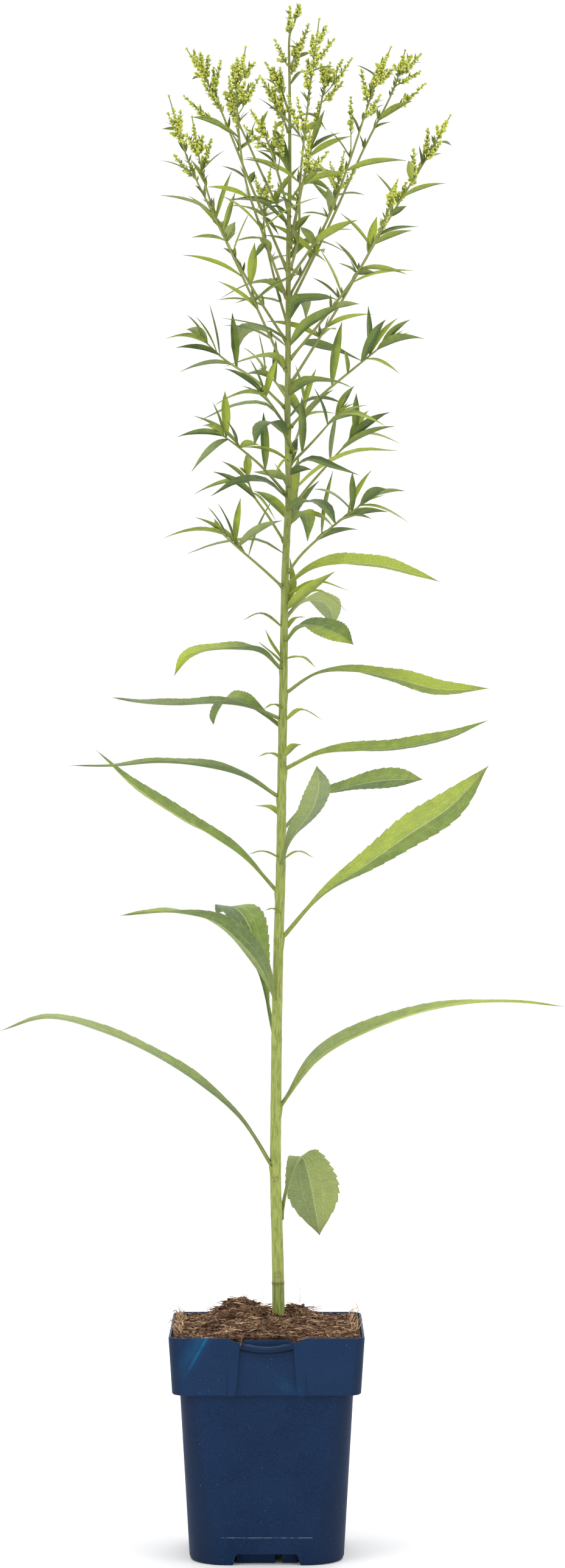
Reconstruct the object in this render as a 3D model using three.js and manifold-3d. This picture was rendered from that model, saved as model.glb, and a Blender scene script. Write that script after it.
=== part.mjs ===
// Potted goldenrod: one tall flowering stem with its leaves, side shoots and budding
// branches, in a square nursery pot filled with peat.
// Millimetres, +Z up, the origin under the middle of the pot, the viewer on the -Y side.
import * as THREE from 'three';
import { mergeVertices } from 'three/addons/utils/BufferGeometryUtils.js';
import Module from 'manifold-3d';

const wasm = await Module();
wasm.setup();

// Pot
const POT_HEIGHT = 129;
const RIM_HALF = 55;
const SKIRT_FOOT_HALF = 53;
const SKIRT_FOOT_Z = 96.7;
const BODY_TOP_HALF = 48.8;
const BASE_HALF = 43.75;
const RIM_CORNER = 7;
const BODY_TOP_CORNER = 12;
const BASE_CORNER = 22;
const WALL = 1.6;
const FLOOR_Z = 8.1;
const NOTCH_HEIGHT = 6.5;
const NOTCH_HALF = 18.6;
const NOTCH_FLARE = 1.6;
const CENTRE_FOOT_HALF = 11;
const WELL_OFFSET = 29;
const DRAIN_RADIUS = 4.5;
const DRAIN_OFFSET = 27;
const PANEL_HALF = 15.1;
const PANEL_FOOT_HALF = 16.7;
const PANEL_ROUND = 3.2;
const PANEL_TOP_Z = 123.4;
const PANEL_DEPTH = 1.9;
const PANEL_BACK_Y = -49.2;
const BLOCK_HALF = 21.6;
const DIP_Z = 126.6;
const DIP_HALF = 16;
const DIP_SPREAD = 7.5;
const LIP_BULGE = 6.2;
const LIP_HEIGHT = 2.6;
const LIP_WALL = 1.3;
const LIP_DROP = 0.5;
const LIP_FLOOR = 0.8;
const SLOT_INSET = 3.5;
const SLOT_BACK = 2.2;
const RIB_HALF = 0.5;

// Peat
const PEAT_GAP = 0.3;
const PEAT_Z = 128.4;
const PEAT_RINGS = [0.2, 0.42, 0.64, 0.86];
const PEAT_SIDES = 16;
const PEAT_ROUGHNESS = 1.5;
const MOUNDS = [
  // x, y, height, spread
  [-19, 9, 13, 13],
  [-4, 14, 8, 9],
  [17, 17, 7, 9],
  [4, -6, 4, 26],
  [38, 34, -3, 16],
];

// Sight line: places are given as they are seen from the front, in the plane of the stem
const SIGHT_DISTANCE = 2200;
const SIGHT_HEIGHT = 438.4;

// Main stem: x and z of its middle line, and its radius at some heights
const STEM_PATH = [
  [7.2, 100], [6.1, 170], [4.9, 214], [5.2, 259], [5.7, 304], [6.7, 349], [8, 393.5], [8.5, 438],
  [9.2, 483], [10.3, 553], [11.7, 587], [12.6, 606], [11.8, 643], [12.1, 692], [12.3, 748],
  [13, 782], [13, 835], [12.7, 864], [15.4, 873], [18.6, 884],
];
const STEM_RADII = [[100, 3.6], [215, 3.05], [400, 2.6], [560, 2], [690, 1.5], [785, 1], [884, 0.5]];
const STEM_SIDES = 7;
const STEM_STEPS = 16;
const STEM_GAP = 0.3;

// Leaves
const LEAF_THICKNESS = 1.5;
const LEAF_ROOT_HALF = 1.3;
const BLADE_THICKNESS = 1.8;
const BLADE_ROOT_HALF = 0.42;
const ROOT_THINNING = 0.5;
const LEAF_STATIONS = 9;
const SHORT_BLADE = 48;
const TINY_BLADE = 20;
const TOOTH = 0.07;
const LEAF_FOLD = 0.22;
const LEAF_FULLNESS = 0.85;
const SMALL_WIDEST = 0.42;
const GOLDEN_ANGLE = 137.5 * Math.PI / 180;

// Room kept between the pieces of neighbouring nodes
const CLEAR = 2.25;
const PROBE_STEP = 2.2;
const THICK_STEM = 1.6;
const CLUSTER_HALF = 1.7;
const START_STEP = 0.002;
const LEVEL_TO = 0.7;

// First millimetres of a piece, which may touch the stem it grows from
const LEAF_PROBE_SKIP = 10;
const TWIG_PROBE_SKIP = 5;
const STEM_LEAF_PROBE_SKIP = 4;
const SPRAY_PROBE_SKIP = 5;
const BLADE_PROBE_SKIP = 3;

// Large leaves: depth of the tip, width, share of the way where it is widest, roll at root and
// tip in degrees, and the middle line
const LARGE_LEAVES = [
  ['leaf_01', 40, 31, 0.74, 0, 33,
    [[8, 188], [11, 205], [15, 218], [20, 225], [24, 214], [27, 199], [30, 180]]],
  ['leaf_02', -38, 15, 0.6, 26, 12,
    [[6, 214], [-14, 246], [-38, 267], [-65, 284], [-94, 297], [-125, 305], [-153, 297]]],
  ['leaf_03', 44, 16, 0.5, -40, 20,
    [[8, 254], [28, 281], [55, 296], [84, 307], [113, 313], [142, 314], [170, 311]]],
  ['leaf_04', 112, 24, 0.74, 0, 0,
    [[5, 290], [1, 309], [-2, 328], [-6, 344], [-12, 360], [-20, 368], [-30, 364]]],
  ['leaf_05', -66, 18, 0.48, -35, 22,
    [[7, 309], [-2, 331], [-14, 347], [-30, 360], [-50, 365], [-67, 365], [-84, 363]]],
  ['leaf_06', -30, 21, 0.68, 50, 62, [[8, 349], [31, 375], [56, 392], [80, 409], [105, 426], [127, 449]]],
  ['leaf_07', 34, 16, 0.6, -30, -36,
    [[8, 374], [-11, 395], [-31, 409], [-53, 422], [-76, 438], [-98, 458]]],
  ['leaf_08', -118, 15, 0.66, 0, 0, [[8, 391], [12, 404], [18, 413], [26, 424], [30, 437], [29, 449]]],
  ['leaf_09', 84, 16, 0.7, 30, 60, [[9, 412], [25, 429], [46, 437], [69, 441], [89, 441]]],
  ['leaf_10', -22, 13, 0.5, 14, 6, [[8, 430], [-13, 443], [-37, 449], [-62, 451], [-88, 449], [-113, 449]]],
  ['leaf_11', 16, 15, 0.6, 24, 30, [[9, 446], [30, 456], [54, 458], [79, 460], [104, 466], [127, 475]]],
  ['leaf_12', -34, 14, 0.6, 12, 16, [[9, 475], [-11, 483], [-30, 485], [-50, 484], [-70, 485], [-89, 488]]],
  ['leaf_13', 62, 15, 0.6, 20, 30, [[9, 470], [-4, 480], [-15, 486], [-23, 487], [-29, 480], [-31, 472]]],
  ['leaf_14', 34, 15, 0.68, 6, 48, [[9, 489], [29, 502], [52, 503], [74, 499], [98, 493], [127, 493]]],
  ['leaf_15', -50, 14, 0.55, 10, 16, [[9, 503], [-3, 514], [-18, 516], [-34, 515], [-46, 511], [-53, 500]]],
  ['leaf_16', -74, 15, 0.6, -20, -44, [[10, 519], [18, 528], [27, 529], [36, 526], [43, 523], [50, 518]]],
  ['leaf_17', 70, 15, 0.6, 10, 30, [[10, 532], [19, 542], [28, 544], [34, 541], [37, 536], [38, 528]]],
  ['leaf_18', -18, 15, 0.55, 20, 32, [[10, 551], [26, 562], [45, 565], [64, 564], [82, 560], [99, 554]]],
];

// Small leaves on the main stem: depth of the tip, width, roll, and the middle line
const STEM_LEAVES = [
  [-16, 8, 8, [[10, 570], [-6, 578], [-28, 576], [-46, 570]]],
  [-52, 13, 0, [[11, 594], [22, 600], [33, 597], [40, 586]]],
  [44, 12, 0, [[11, 585], [19, 594], [23, 590], [23, 577]]],
  [-26, 9, 30, [[12, 601], [0, 611], [-16, 612], [-32, 603]]],
  [30, 7, 30, [[12, 612], [2, 616], [-8, 617]]],
  [22, 9, 18, [[12, 603], [30, 619], [52, 629], [75, 629]]],
  [-30, 8, -25, [[12, 617], [24, 624], [38, 620], [53, 615]]],
  [-12, 9, 14, [[12, 641], [0, 655], [-18, 655], [-39, 646]]],
  [-58, 11, 0, [[12, 637], [4, 645], [-4, 642], [-7, 632]]],
  [20, 8, 10, [[12, 647], [22, 657], [33, 659], [44, 656]]],
  [-52, 10, 16, [[12, 660], [21, 668], [32, 669], [42, 668], [49, 665]]],
  [26, 8, 25, [[11, 674], [6, 682], [-3, 683], [-13, 681], [-25, 677]]],
  [34, 8, 25, [[12, 681], [21, 690], [27, 690], [35, 688], [42, 686], [55, 680]]],
  [48, 10, -20, [[12, 688], [-2, 698], [-13, 698], [-18, 690], [-17, 675]]],
  [-30, 5, 10, [[12, 692], [0, 699], [-13, 703], [-26, 705]]],
  [-24, 7, 30, [[13, 689], [20, 699], [28, 705], [37, 710], [41, 711]]],
  [-34, 10, 20, [[13, 704], [16, 714], [25, 716], [35, 717], [41, 715]]],
  [45, 8, 0, [[13, 706], [19, 716], [22, 713], [22, 704]]],
  [28, 7, 25, [[12, 717], [2, 725], [-12, 724], [-27, 716]]],
  [36, 7, -25, [[12, 738], [22, 748], [34, 748], [46, 742]]],
  [22, 5, 25, [[12, 758], [1, 769], [-6, 772], [-15, 773], [-23, 773]]],
  [-18, 4, 0, [[12, 764], [4, 769], [-6, 765]]],
  [34, 6, 25, [[13, 772], [22, 782], [30, 782], [38, 776]]],
  [-14, 6, 0, [[13, 786], [9, 796], [2, 800], [-5, 801]]],
  [-26, 7, 0, [[13, 792], [8, 803], [6, 809], [5, 813]]],
  [26, 5, 0, [[13, 812], [20, 821], [28, 820], [34, 812]]],
  [18, 4, 0, [[13, 838], [20, 846], [28, 844]]],
];

// Young leaf curls in the axils of the lower stem
const TUFTS = [
  [-8, 4, 0, [[9, 361], [4, 367], [-1, 366]]],
  [-12, 4, 0, [[9, 395], [-2, 400], [-11, 398]]],
  [-10, 4, 0, [[9, 395], [18, 400], [27, 396]]],
  [12, 5, 20, [[9, 419], [2, 425], [-7, 426]]],
  [-14, 5, 0, [[9, 452], [2, 456], [-5, 454]]],
  [-14, 5, 20, [[9, 453], [15, 460], [20, 461]]],
  [-16, 5, 10, [[10, 474], [20, 481], [32, 475]]],
  [-12, 4, 0, [[10, 480], [4, 484], [-2, 481]]],
  [-14, 5, 0, [[10, 510], [20, 511], [28, 505]]],
  [-20, 6, 30, [[9, 507], [2, 514], [-5, 520]]],
  [-22, 4, 0, [[9, 509], [3, 518], [-1, 527]]],
  [-10, 5, 0, [[10, 527], [-3, 536], [-14, 532]]],
  [12, 5, 0, [[10, 525], [16, 533], [22, 534]]],
  [-30, 7, 30, [[11, 538], [24, 550], [39, 560]]],
  [-24, 5, 20, [[11, 546], [29, 554], [47, 549]]],
  [-46, 5, 10, [[11, 541], [30, 549], [46, 537]]],
  [-20, 5, 0, [[11, 541], [15, 552], [13, 568]]],
  [-36, 4, 0, [[11, 540], [18, 550], [22, 560]]],
];

// Leafy side shoots: depth at the end, the middle line, and the leaf tips seen from the front
const SHOOTS = [
  {
    name: 'shoot_left_1', depth: -30, reach: 36, path: [[10, 550], [-3, 562], [-17, 574], [-27, 583]],
    tips: [[-34, 597], [-15, 602], [-28, 599], [-41, 591], [-59, 579], [-50, 573], [9, 589], [4, 602]],
  },
  {
    name: 'shoot_left_2', depth: 34, reach: 34, path: [[11, 575], [1, 591], [-8, 604], [-12, 616]],
    tips: [[-26, 623], [-11, 628], [-31, 617], [-42, 604], [5, 589], [4, 625]],
  },
  {
    name: 'shoot_left_3', depth: -34, reach: 34, path: [[12, 603], [-2, 619], [-16, 631], [-27, 639]],
    tips: [
      [-31, 657], [-24, 663], [-23, 646], [-42, 649], [-37, 643], [-51, 637], [-43, 617], [-2, 651], [-4, 632],
    ],
  },
  {
    name: 'shoot_left_4', depth: -44, reach: 32, path: [[12, 641], [5, 652], [-2, 662]],
    tips: [[-10, 682], [6, 682], [-24, 676], [-14, 666], [-31, 654]],
  },
  {
    name: 'shoot_left_5', depth: 18, reach: 34, path: [[12, 652], [-6, 669], [-24, 681], [-37, 693]],
    tips: [[-46, 707], [-41, 706], [-33, 713], [-47, 698], [-58, 693], [-52, 688], [-50, 674], [-20, 708]],
  },
  {
    name: 'shoot_left_6', depth: 46, reach: 30, path: [[12, 658], [5, 668], [-2, 675]],
    tips: [[-5, 697], [-14, 688], [5, 693], [-14, 672]],
  },
  {
    name: 'shoot_right_1', depth: -34, reach: 38, path: [[11, 558], [21, 571], [38, 586], [58, 601]],
    tips: [
      [49, 617], [60, 618], [69, 607], [79, 606], [81, 588], [69, 594], [27, 607], [38, 618], [20, 593],
      [52, 584], [60, 590],
    ],
  },
  {
    name: 'shoot_right_2', depth: 38, reach: 36, path: [[12, 593], [24, 609], [40, 627], [53, 641]],
    tips: [[51, 662], [58, 652], [70, 651], [73, 643], [76, 633], [70, 626], [40, 652]],
  },
  {
    name: 'shoot_right_3', depth: -30, reach: 34, path: [[12, 620], [26, 634], [42, 652]],
    tips: [[50, 666], [58, 655], [27, 665], [20, 660], [68, 643], [58, 649]],
  },
  {
    name: 'shoot_right_4', depth: -12, reach: 38, path: [[12, 641], [28, 658], [52, 678], [72, 694]],
    tips: [
      [82, 704], [75, 705], [68, 704], [90, 693], [76, 673], [58, 712], [63, 706], [43, 703], [45, 686],
    ],
  },
  {
    name: 'shoot_front', depth: -52, reach: 30, path: [[12, 608], [13, 618], [14, 627]],
    tips: [[8, 642], [14, 635], [18, 636], [-13, 631], [4, 614], [26, 618]],
  },
  {
    name: 'shoot_back_1', depth: 64, reach: 38, path: [[10, 560], [12, 580], [16, 600]],
    tips: [[4, 622], [18, 626], [30, 612], [-8, 606], [34, 592]],
  },
  {
    name: 'shoot_back_2', depth: 66, reach: 36, path: [[12, 624], [18, 640], [22, 657]],
    tips: [[16, 678], [28, 676], [38, 664], [4, 668], [40, 650]],
  },
];

// Flowering branches: depth at the end, the number and the first length of the leaves on their
// far side, the middle line, their bud sprays and their seen leaves. A spray or leaf is given by
// the height of its root and the x and z of its tip, seen from the front, and a leaf by its width
const BRANCHES = [
  {
    name: 'flower_branch_left_1', depth: -34, farLeaves: 2, farLength: 40,
    path: [[12, 672], [1, 696], [-15, 731], [-31, 765], [-45, 795], [-56, 832]],
    sprays: [[806, -56.5, 822], [810, -49.5, 823.5], [785, -53, 798]],
    leaves: [
      [709, -28, 726, 5.5], [714, 21, 731, 4], [728, -48, 741, 4], [741, -9, 767, 3.5],
      [748, -19, 738, 5], [749, -43, 751, 4], [749, -18, 760, 6], [756, -45, 775, 5],
      [765, -61, 775, 4.5], [761, -20, 789, 3], [774, -41, 781, 4], [786, -61, 795, 3],
      [812, -47, 821, 3], [812, -60, 813, 3],
    ],
  },
  {
    name: 'flower_branch_left_2', depth: 30, farLeaves: 3, farLength: 38,
    path: [[12, 690], [-9, 723], [-27, 757], [-37, 788], [-43, 820]],
    sprays: [[797, -46, 810], [798, -37, 809], [789, -32, 807]],
    leaves: [
      [724, -7, 748, 5.5], [731, -19, 741, 4], [753, -18, 777, 3.5], [780, -44, 796, 4.5],
      [768, -37, 773, 3], [789, -24, 801, 3], [739, -25, 745, 4],
    ],
  },
  {
    name: 'flower_branch_left_3', depth: -44, farLeaves: 2, farLength: 36,
    path: [[12, 714], [-3, 755], [-13, 788], [-17, 831], [-12, 860]],
    sprays: [
      [842, -17, 853.5], [832, -20, 849], [841, -7, 851], [821, -4, 843.5], [825, -9, 839],
      [830, -12.5, 840],
    ],
    leaves: [
      [756, -26, 775, 6], [755, 30, 774, 4.5], [773, -34, 780, 4.5], [785, -26, 792, 4],
      [748, -7, 739, 4], [800, -21, 812, 4], [808, -43, 820, 4], [816, -10, 823, 3],
    ],
  },
  {
    name: 'flower_branch_left_4', depth: 4, farLeaves: 2, farLength: 36,
    path: [[12, 731], [-8, 778], [-20, 808], [-31, 834], [-46, 859]],
    sprays: [
      [848, -42, 857.5], [845, -38, 856.5], [841, -33.5, 855], [834, -26.5, 852], [832, -30.5, 848],
      [825, -37, 841], [820, -31, 836], [811, -47.5, 832],
    ],
    leaves: [
      [782, -7, 789, 4], [800, 1, 810, 4], [813, -42, 820, 3], [757, 7, 752, 3.5],
    ],
  },
  {
    name: 'flower_branch_left_5', depth: 52, farLeaves: 2, farLength: 34,
    path: [[13, 756], [2, 777], [-10, 803], [-19, 824], [-22, 843]],
    sprays: [[822, -20, 837.5], [820, -24.5, 834], [812, -23, 827]],
    leaves: [
      [772, 19, 792, 3.5], [764, -22, 772, 4], [782, -6, 765, 3.5], [805, -6, 819, 3],
    ],
  },
  {
    name: 'flower_branch_front_1', depth: -58, farLeaves: 1, farLength: 32,
    path: [[13, 762], [8, 782], [0, 807], [-9, 824]],
    sprays: [[806, -4, 818], [800, -13, 815], [797, 5, 817], [788, 9.5, 816]],
    leaves: [
      [793, -6, 801, 4], [798, -4, 804, 3], [809, -6, 819, 5], [814, 1, 824, 3],
    ],
  },
  {
    name: 'flower_branch_front_2', depth: -52, farLeaves: 1, farLength: 30,
    path: [[13, 744], [17, 764], [22, 790], [25, 812]],
    sprays: [[799, 12, 832], [804, 17.5, 831], [787, 35, 800]],
    leaves: [
      [748, 25, 764, 4], [765, 7, 775, 4], [782, 30, 789, 3.5],
    ],
  },
  {
    name: 'flower_branch_top_1', depth: 24, farLeaves: 1, farLength: 22,
    path: [[13, 822], [7, 837], [-1, 851]],
    sprays: [[839, 3, 848], [834, 7.5, 848]],
    leaves: [
      [829, 3, 838, 3.5], [835, -1, 842, 3],
    ],
  },
  {
    name: 'flower_branch_top_2', depth: -26, farLeaves: 1, farLength: 22,
    path: [[13, 810], [5, 828], [-3, 842]],
    sprays: [[828, 3, 837], [822, 8, 833], [818, 5, 826]],
    leaves: [
      [817, 4, 813, 4], [824, 1, 825, 3],
    ],
  },
  {
    name: 'flower_branch_top_3', depth: -18, farLeaves: 1, farLength: 20,
    path: [[13, 848], [19, 860], [24, 873]],
    sprays: [[854, 19, 862]],
    leaves: [
      [852, 26, 857, 3],
    ],
  },
  {
    name: 'flower_branch_right_1', depth: -30, farLeaves: 2, farLength: 34,
    path: [[12, 728], [18, 752], [19, 784], [24, 831], [30, 876]],
    sprays: [
      [852, 26, 866.5], [850, 38.5, 864.5], [842, 23, 852.5], [834, 22, 845], [861, 34, 872],
    ],
    leaves: [
      [748, 14, 757, 4], [782, -12, 797, 5.5], [781, 48, 788, 4], [806, -5, 831, 4.5],
      [810, 30, 818, 4.5], [828, 19, 835, 3],
    ],
  },
  {
    name: 'flower_branch_right_2', depth: 34, farLeaves: 1, farLength: 36,
    path: [[12, 743], [20, 780], [27, 810], [33, 838], [36, 851]],
    sprays: [
      [836, 43, 852.5], [832, 48.5, 853.5], [828, 43, 840], [836, 31, 850], [806, 29.5, 828.5],
    ],
    leaves: [
      [797, 48, 809, 4.5], [801, 42, 811, 4.5], [788, 37, 789, 3], [803, 33, 824, 3.5],
    ],
  },
  {
    name: 'flower_branch_right_3', depth: -24, farLeaves: 2, farLength: 38,
    path: [[12, 726], [33, 758], [47, 794], [60, 833], [71, 860]],
    sprays: [
      [842, 66.5, 853], [836, 64, 850], [838, 72, 847], [827, 54, 847], [830, 60, 840],
      [818, 65, 832.5], [797, 48, 831],
    ],
    leaves: [
      [746, 52, 761, 6], [765, 35, 780, 7], [776, 25, 797, 6], [788, 19, 782, 5], [789, 80, 795, 4.5],
      [796, 36, 812, 4], [811, 48, 822, 4], [818, 67, 827, 4],
    ],
  },
  {
    name: 'flower_branch_right_4', depth: 16, farLeaves: 2, farLength: 40,
    path: [[12, 710], [35, 757], [55, 801], [72, 835], [79, 858]],
    sprays: [[846, 82.5, 855], [843, 88, 856], [838, 87.5, 846], [819, 90.5, 839]],
    leaves: [
      [741, 1, 759, 5], [726, 34, 737, 3.5], [742, 29, 749, 3.5], [766, 25, 783, 5], [802, 53, 810, 4],
      [813, 71, 817, 3], [818, 83, 829, 4],
    ],
  },
  {
    name: 'flower_branch_right_5', depth: -56, farLeaves: 1, farLength: 38,
    path: [[12, 680], [39, 713], [56, 738], [69, 765], [75, 784]],
    sprays: [[754, 69.5, 764.5]],
    leaves: [
      [710, 53, 713, 5], [716, 26, 728, 4], [730, 62, 731, 4], [732, 39, 749, 4], [733, 80, 730, 4],
      [742, 63, 763, 5], [745, 42, 765, 3.5], [769, 74, 783, 4.5],
    ],
  },
  {
    name: 'flower_branch_right_6', depth: -8, farLeaves: 2, farLength: 42,
    path: [[12, 665], [40, 710], [67, 757], [91, 796], [105, 821]],
    sprays: [
      [796, 92, 813], [784, 84, 801.5], [779, 88, 793.5], [795, 99.5, 806], [771, 79.5, 782],
    ],
    leaves: [
      [692, -1, 703, 5], [699, 61, 707, 5], [716, 30, 745, 6], [725, 84, 732, 5], [747, 83, 755, 4.5],
      [752, 87, 757, 5], [763, 80, 769, 4], [770, 62, 788, 4], [774, 102, 782, 3.5],
      [783, 81, 795, 4.5], [792, 87, 804, 4], [794, 100, 799, 3],
    ],
  },
  {
    name: 'flower_branch_back_1', depth: 74, farLeaves: 6, farLength: 38,
    path: [[12, 700], [4, 728], [-2, 760], [2, 792]],
    sprays: [[768, -7, 786], [766, 10, 784]],
    leaves: [],
  },
  {
    name: 'flower_branch_back_2', depth: 70, farLeaves: 6, farLength: 36,
    path: [[12, 716], [26, 742], [38, 772], [44, 800]],
    sprays: [[776, 36, 794], [776, 52, 792]],
    leaves: [],
  },
];
const STEM_SPRAYS = [[848, 4.5, 864], [866, 13, 883], [844, 18, 853]];
const SPRAY_OFFSET = 6;
const BUD_ROWS = 3;
const BUD_ROW_HEIGHT = 4.6;
const BUD_OUT = 2.2;
const BUD_IN = 1;
const TWIG_SIDES = 4;
const STALK_RADIUS = 0.6;
const BRANCH_RADIUS = [0.95, 0.55];
const SHOOT_RADIUS = [1, 0.65];
const SHOOT_STEPS = 5;
const BRANCH_STEPS = 3;
const BLADE_ARCH = 0.15;
const ARCH_AT = 0.45;
const LEAF_FROM = 0.14;
const ASIDE_SHARE = [0.2, 0.45];
const SWELL_FROM = 0.42;
const SWELL_TO = 0.94;
const SPRAY_SAG = 0.1;
const LEAST_STALK = 0.2;

// Leaves of the shoots: distance aside in depth, reach and width
const ASIDE_FIRST = 6;
const ASIDE_STEP = 5;
const REACH_FIRST = 0.62;
const REACH_STEP = 0.13;
const SHOOT_LEAF_LEAST = 2.2;
const SHOOT_LEAF_SHARE = 0.1;
const SHOOT_LEAF_MOST = 6.5;
const SHOOT_ARCH = 0.2;
const SHOOT_ROLLS = [35, -20, 50];
const BLADE_ROLLS = [38, -28, 52, 18];
const ROOT_FROM = 0.2;
const ROOT_TO = 0.96;
const ROOT_STEP = 0.04;

// Far leaves of the branches: how far they spread from straight back, their end and their width
const FAR_SPREAD = 1.3;
const FAR_TO = 0.82;
const FAR_END_SHARE = 0.45;
const FAR_OUT = 0.8;
const FAR_WIDTH = 2.4;
const FAR_WIDTH_SHARE = 0.11;

const Z_AXIS = new THREE.Vector3(0, 0, 1);

const vec = (x, y, z) => new THREE.Vector3(x, y, z);
const mix = (a, b, t) => a + (b - a) * t;

// Gives the same row of draws for the same seed
function seededDraws(seed) {
  let state = seed;
  return () => {
    state = (state * 1664525 + 1013904223) % 4294967296;
    return state / 4294967296;
  };
}

// Moves a place seen in the plane of the stem along the sight line to its depth
function alongSight(x, depth, z) {
  const scale = (SIGHT_DISTANCE + depth) / SIGHT_DISTANCE;
  return vec(x * scale, depth, SIGHT_HEIGHT + (z - SIGHT_HEIGHT) * scale);
}

function smoothCurve(points) {
  return new THREE.CatmullRomCurve3(points, false, 'catmullrom', 0.5);
}

// A curve through places seen from the front, whose depth grows evenly to the end
function seenCurve(places, depth) {
  const last = places.length - 1;
  return smoothCurve(places.map(([x, z], i) => alongSight(x, depth * i / last, z)));
}

// How far points lie outside the many-sided skin of the stem, at the least
function stemMargin(points) {
  const half = Math.PI / STEM_SIDES;
  return Math.min(...points.map((p) => {
    const middle = stemMiddle(p.z);
    const angle = Math.atan2(p.y - middle.y, p.x - middle.x) + 2 * Math.PI;
    const skin = stemRadius(p.z) * Math.cos(half) / Math.cos(angle % (2 * half) - half);
    return Math.hypot(p.x - middle.x, p.y - middle.y) - skin;
  }));
}

// The curve of a piece that grows from the stem, begun just outside the stem's skin
function grownCurve(places, depth, halfAcross, halfThickness) {
  const whole = seenCurve(places, depth);
  const side = levelSide(whole.getPoint(0), whole.getPoint(LEVEL_TO));
  const margin = (t) => {
    const centre = whole.getPoint(t);
    const along = tangentAt(whole, t);
    const across = side.clone().addScaledVector(along, -side.dot(along)).setLength(halfAcross);
    const up = across.clone().cross(along).setLength(halfThickness);
    return stemMargin([
      centre.clone().add(across), centre.clone().sub(across), centre.clone().add(up), centre.clone().sub(up),
    ]);
  };
  let start = 0;
  while (margin(start) < STEM_GAP) {
    start += START_STEP;
  }
  return {
    getPoint: (t) => whole.getPoint(mix(start, 1, t)),
    getLength: () => whole.getLength() * (1 - start),
  };
}

const stemCurve = seenCurve(STEM_PATH, 0);

function stemMiddle(z) {
  let low = 0;
  let high = 1;
  for (let i = 0; i < 20; i += 1) {
    const half = (low + high) / 2;
    if (stemCurve.getPoint(half).z < z) {
      low = half;
    } else {
      high = half;
    }
  }
  return stemCurve.getPoint(low);
}

function stemRadius(z) {
  const upper = STEM_RADII.findIndex(([height]) => height >= z);
  if (upper < 0) {
    return STEM_RADII[STEM_RADII.length - 1][1];
  }
  if (upper === 0) {
    return STEM_RADII[0][1];
  }
  const [z0, r0] = STEM_RADII[upper - 1];
  const [z1, r1] = STEM_RADII[upper];
  return mix(r0, r1, (z - z0) / (z1 - z0));
}

// Closed geometry of rings with the same number of points, listed from the first end to the last
function loft(rings) {
  const sides = rings[0].length;
  const positions = [];
  const indices = [];
  for (const ring of rings) {
    for (const p of ring) {
      positions.push(p.x, p.y, p.z);
    }
  }
  for (let r = 0; r + 1 < rings.length; r += 1) {
    for (let i = 0; i < sides; i += 1) {
      const a = r * sides + i;
      const b = r * sides + (i + 1) % sides;
      indices.push(a, b, b + sides, a, b + sides, a + sides);
    }
  }
  const end = (rings.length - 1) * sides;
  for (let i = 1; i + 1 < sides; i += 1) {
    indices.push(0, i + 1, i, end, end + i, end + i + 1);
  }
  const geometry = new THREE.BufferGeometry();
  geometry.setAttribute('position', new THREE.Float32BufferAttribute(positions, 3));
  geometry.setIndex(indices);
  return geometry;
}

function toSolid(geometry) {
  const plain = geometry.clone();
  plain.deleteAttribute('normal');
  plain.deleteAttribute('uv');
  const merged = mergeVertices(plain, 1e-4);
  return new wasm.Manifold(new wasm.Mesh({
    numProp: 3,
    vertProperties: new Float32Array(merged.getAttribute('position').array),
    triVerts: new Uint32Array(merged.getIndex().array),
  }));
}

function toGeometry(solid) {
  const mesh = solid.getMesh();
  const geometry = new THREE.BufferGeometry();
  geometry.setAttribute('position', new THREE.BufferAttribute(mesh.vertProperties, 3));
  geometry.setIndex(new THREE.BufferAttribute(mesh.triVerts, 1));
  geometry.computeVertexNormals();
  return geometry;
}

// Joins solids, fills a hollow that joining seals, and drops a loose scrap
function joined(solids) {
  const bodies = wasm.Manifold.union(solids).decompose();
  return bodies.reduce((largest, body) => (body.volume() > largest.volume() ? body : largest));
}

// A round bar of changing radius along a curve
function bar(curve, radiusAt, steps, sides, from = 0, to = 1) {
  const rings = [];
  let side = vec(1, 0, 0);
  for (let k = 0; k <= steps; k += 1) {
    const t = mix(from, to, k / steps);
    const centre = curve.getPoint(t);
    const along = tangentAt(curve, t);
    side = side.clone().addScaledVector(along, -side.dot(along)).normalize();
    const other = along.clone().cross(side);
    const radius = radiusAt(centre, k / steps);
    const ring = [];
    for (let i = 0; i < sides; i += 1) {
      const angle = i / sides * 2 * Math.PI;
      ring.push(centre.clone()
        .addScaledVector(side, radius * Math.cos(angle))
        .addScaledVector(other, radius * Math.sin(angle)));
    }
    rings.push(ring);
  }
  return loft(rings);
}

function tangentAt(curve, t) {
  const step = 0.01;
  const ahead = curve.getPoint(Math.min(1, t + step));
  return ahead.sub(curve.getPoint(Math.max(0, t - step))).normalize();
}

// Keeps points of all placed pieces, so that a new piece can be tried against its neighbours
class Room {
  constructor() {
    this.cells = new Map();
  }

  static cellOf(p) {
    return [Math.floor(p.x / CLEAR), Math.floor(p.y / CLEAR), Math.floor(p.z / CLEAR)];
  }

  add(owner, points) {
    for (const p of points) {
      const key = Room.cellOf(p).join();
      if (!this.cells.has(key)) {
        this.cells.set(key, []);
      }
      this.cells.get(key).push([owner, p]);
    }
  }

  rival(owner, points, kin = owner) {
    for (const p of points) {
      const [i, j, k] = Room.cellOf(p);
      for (let n = 0; n < 27; n += 1) {
        const key = `${i - 1 + n % 3},${j - 1 + Math.floor(n / 3) % 3},${k - 1 + Math.floor(n / 9)}`;
        for (const [other, q] of this.cells.get(key) ?? []) {
          if (other !== owner && other !== kin && p.distanceTo(q) < CLEAR) {
            return other;
          }
        }
      }
    }
    return null;
  }
}

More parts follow.
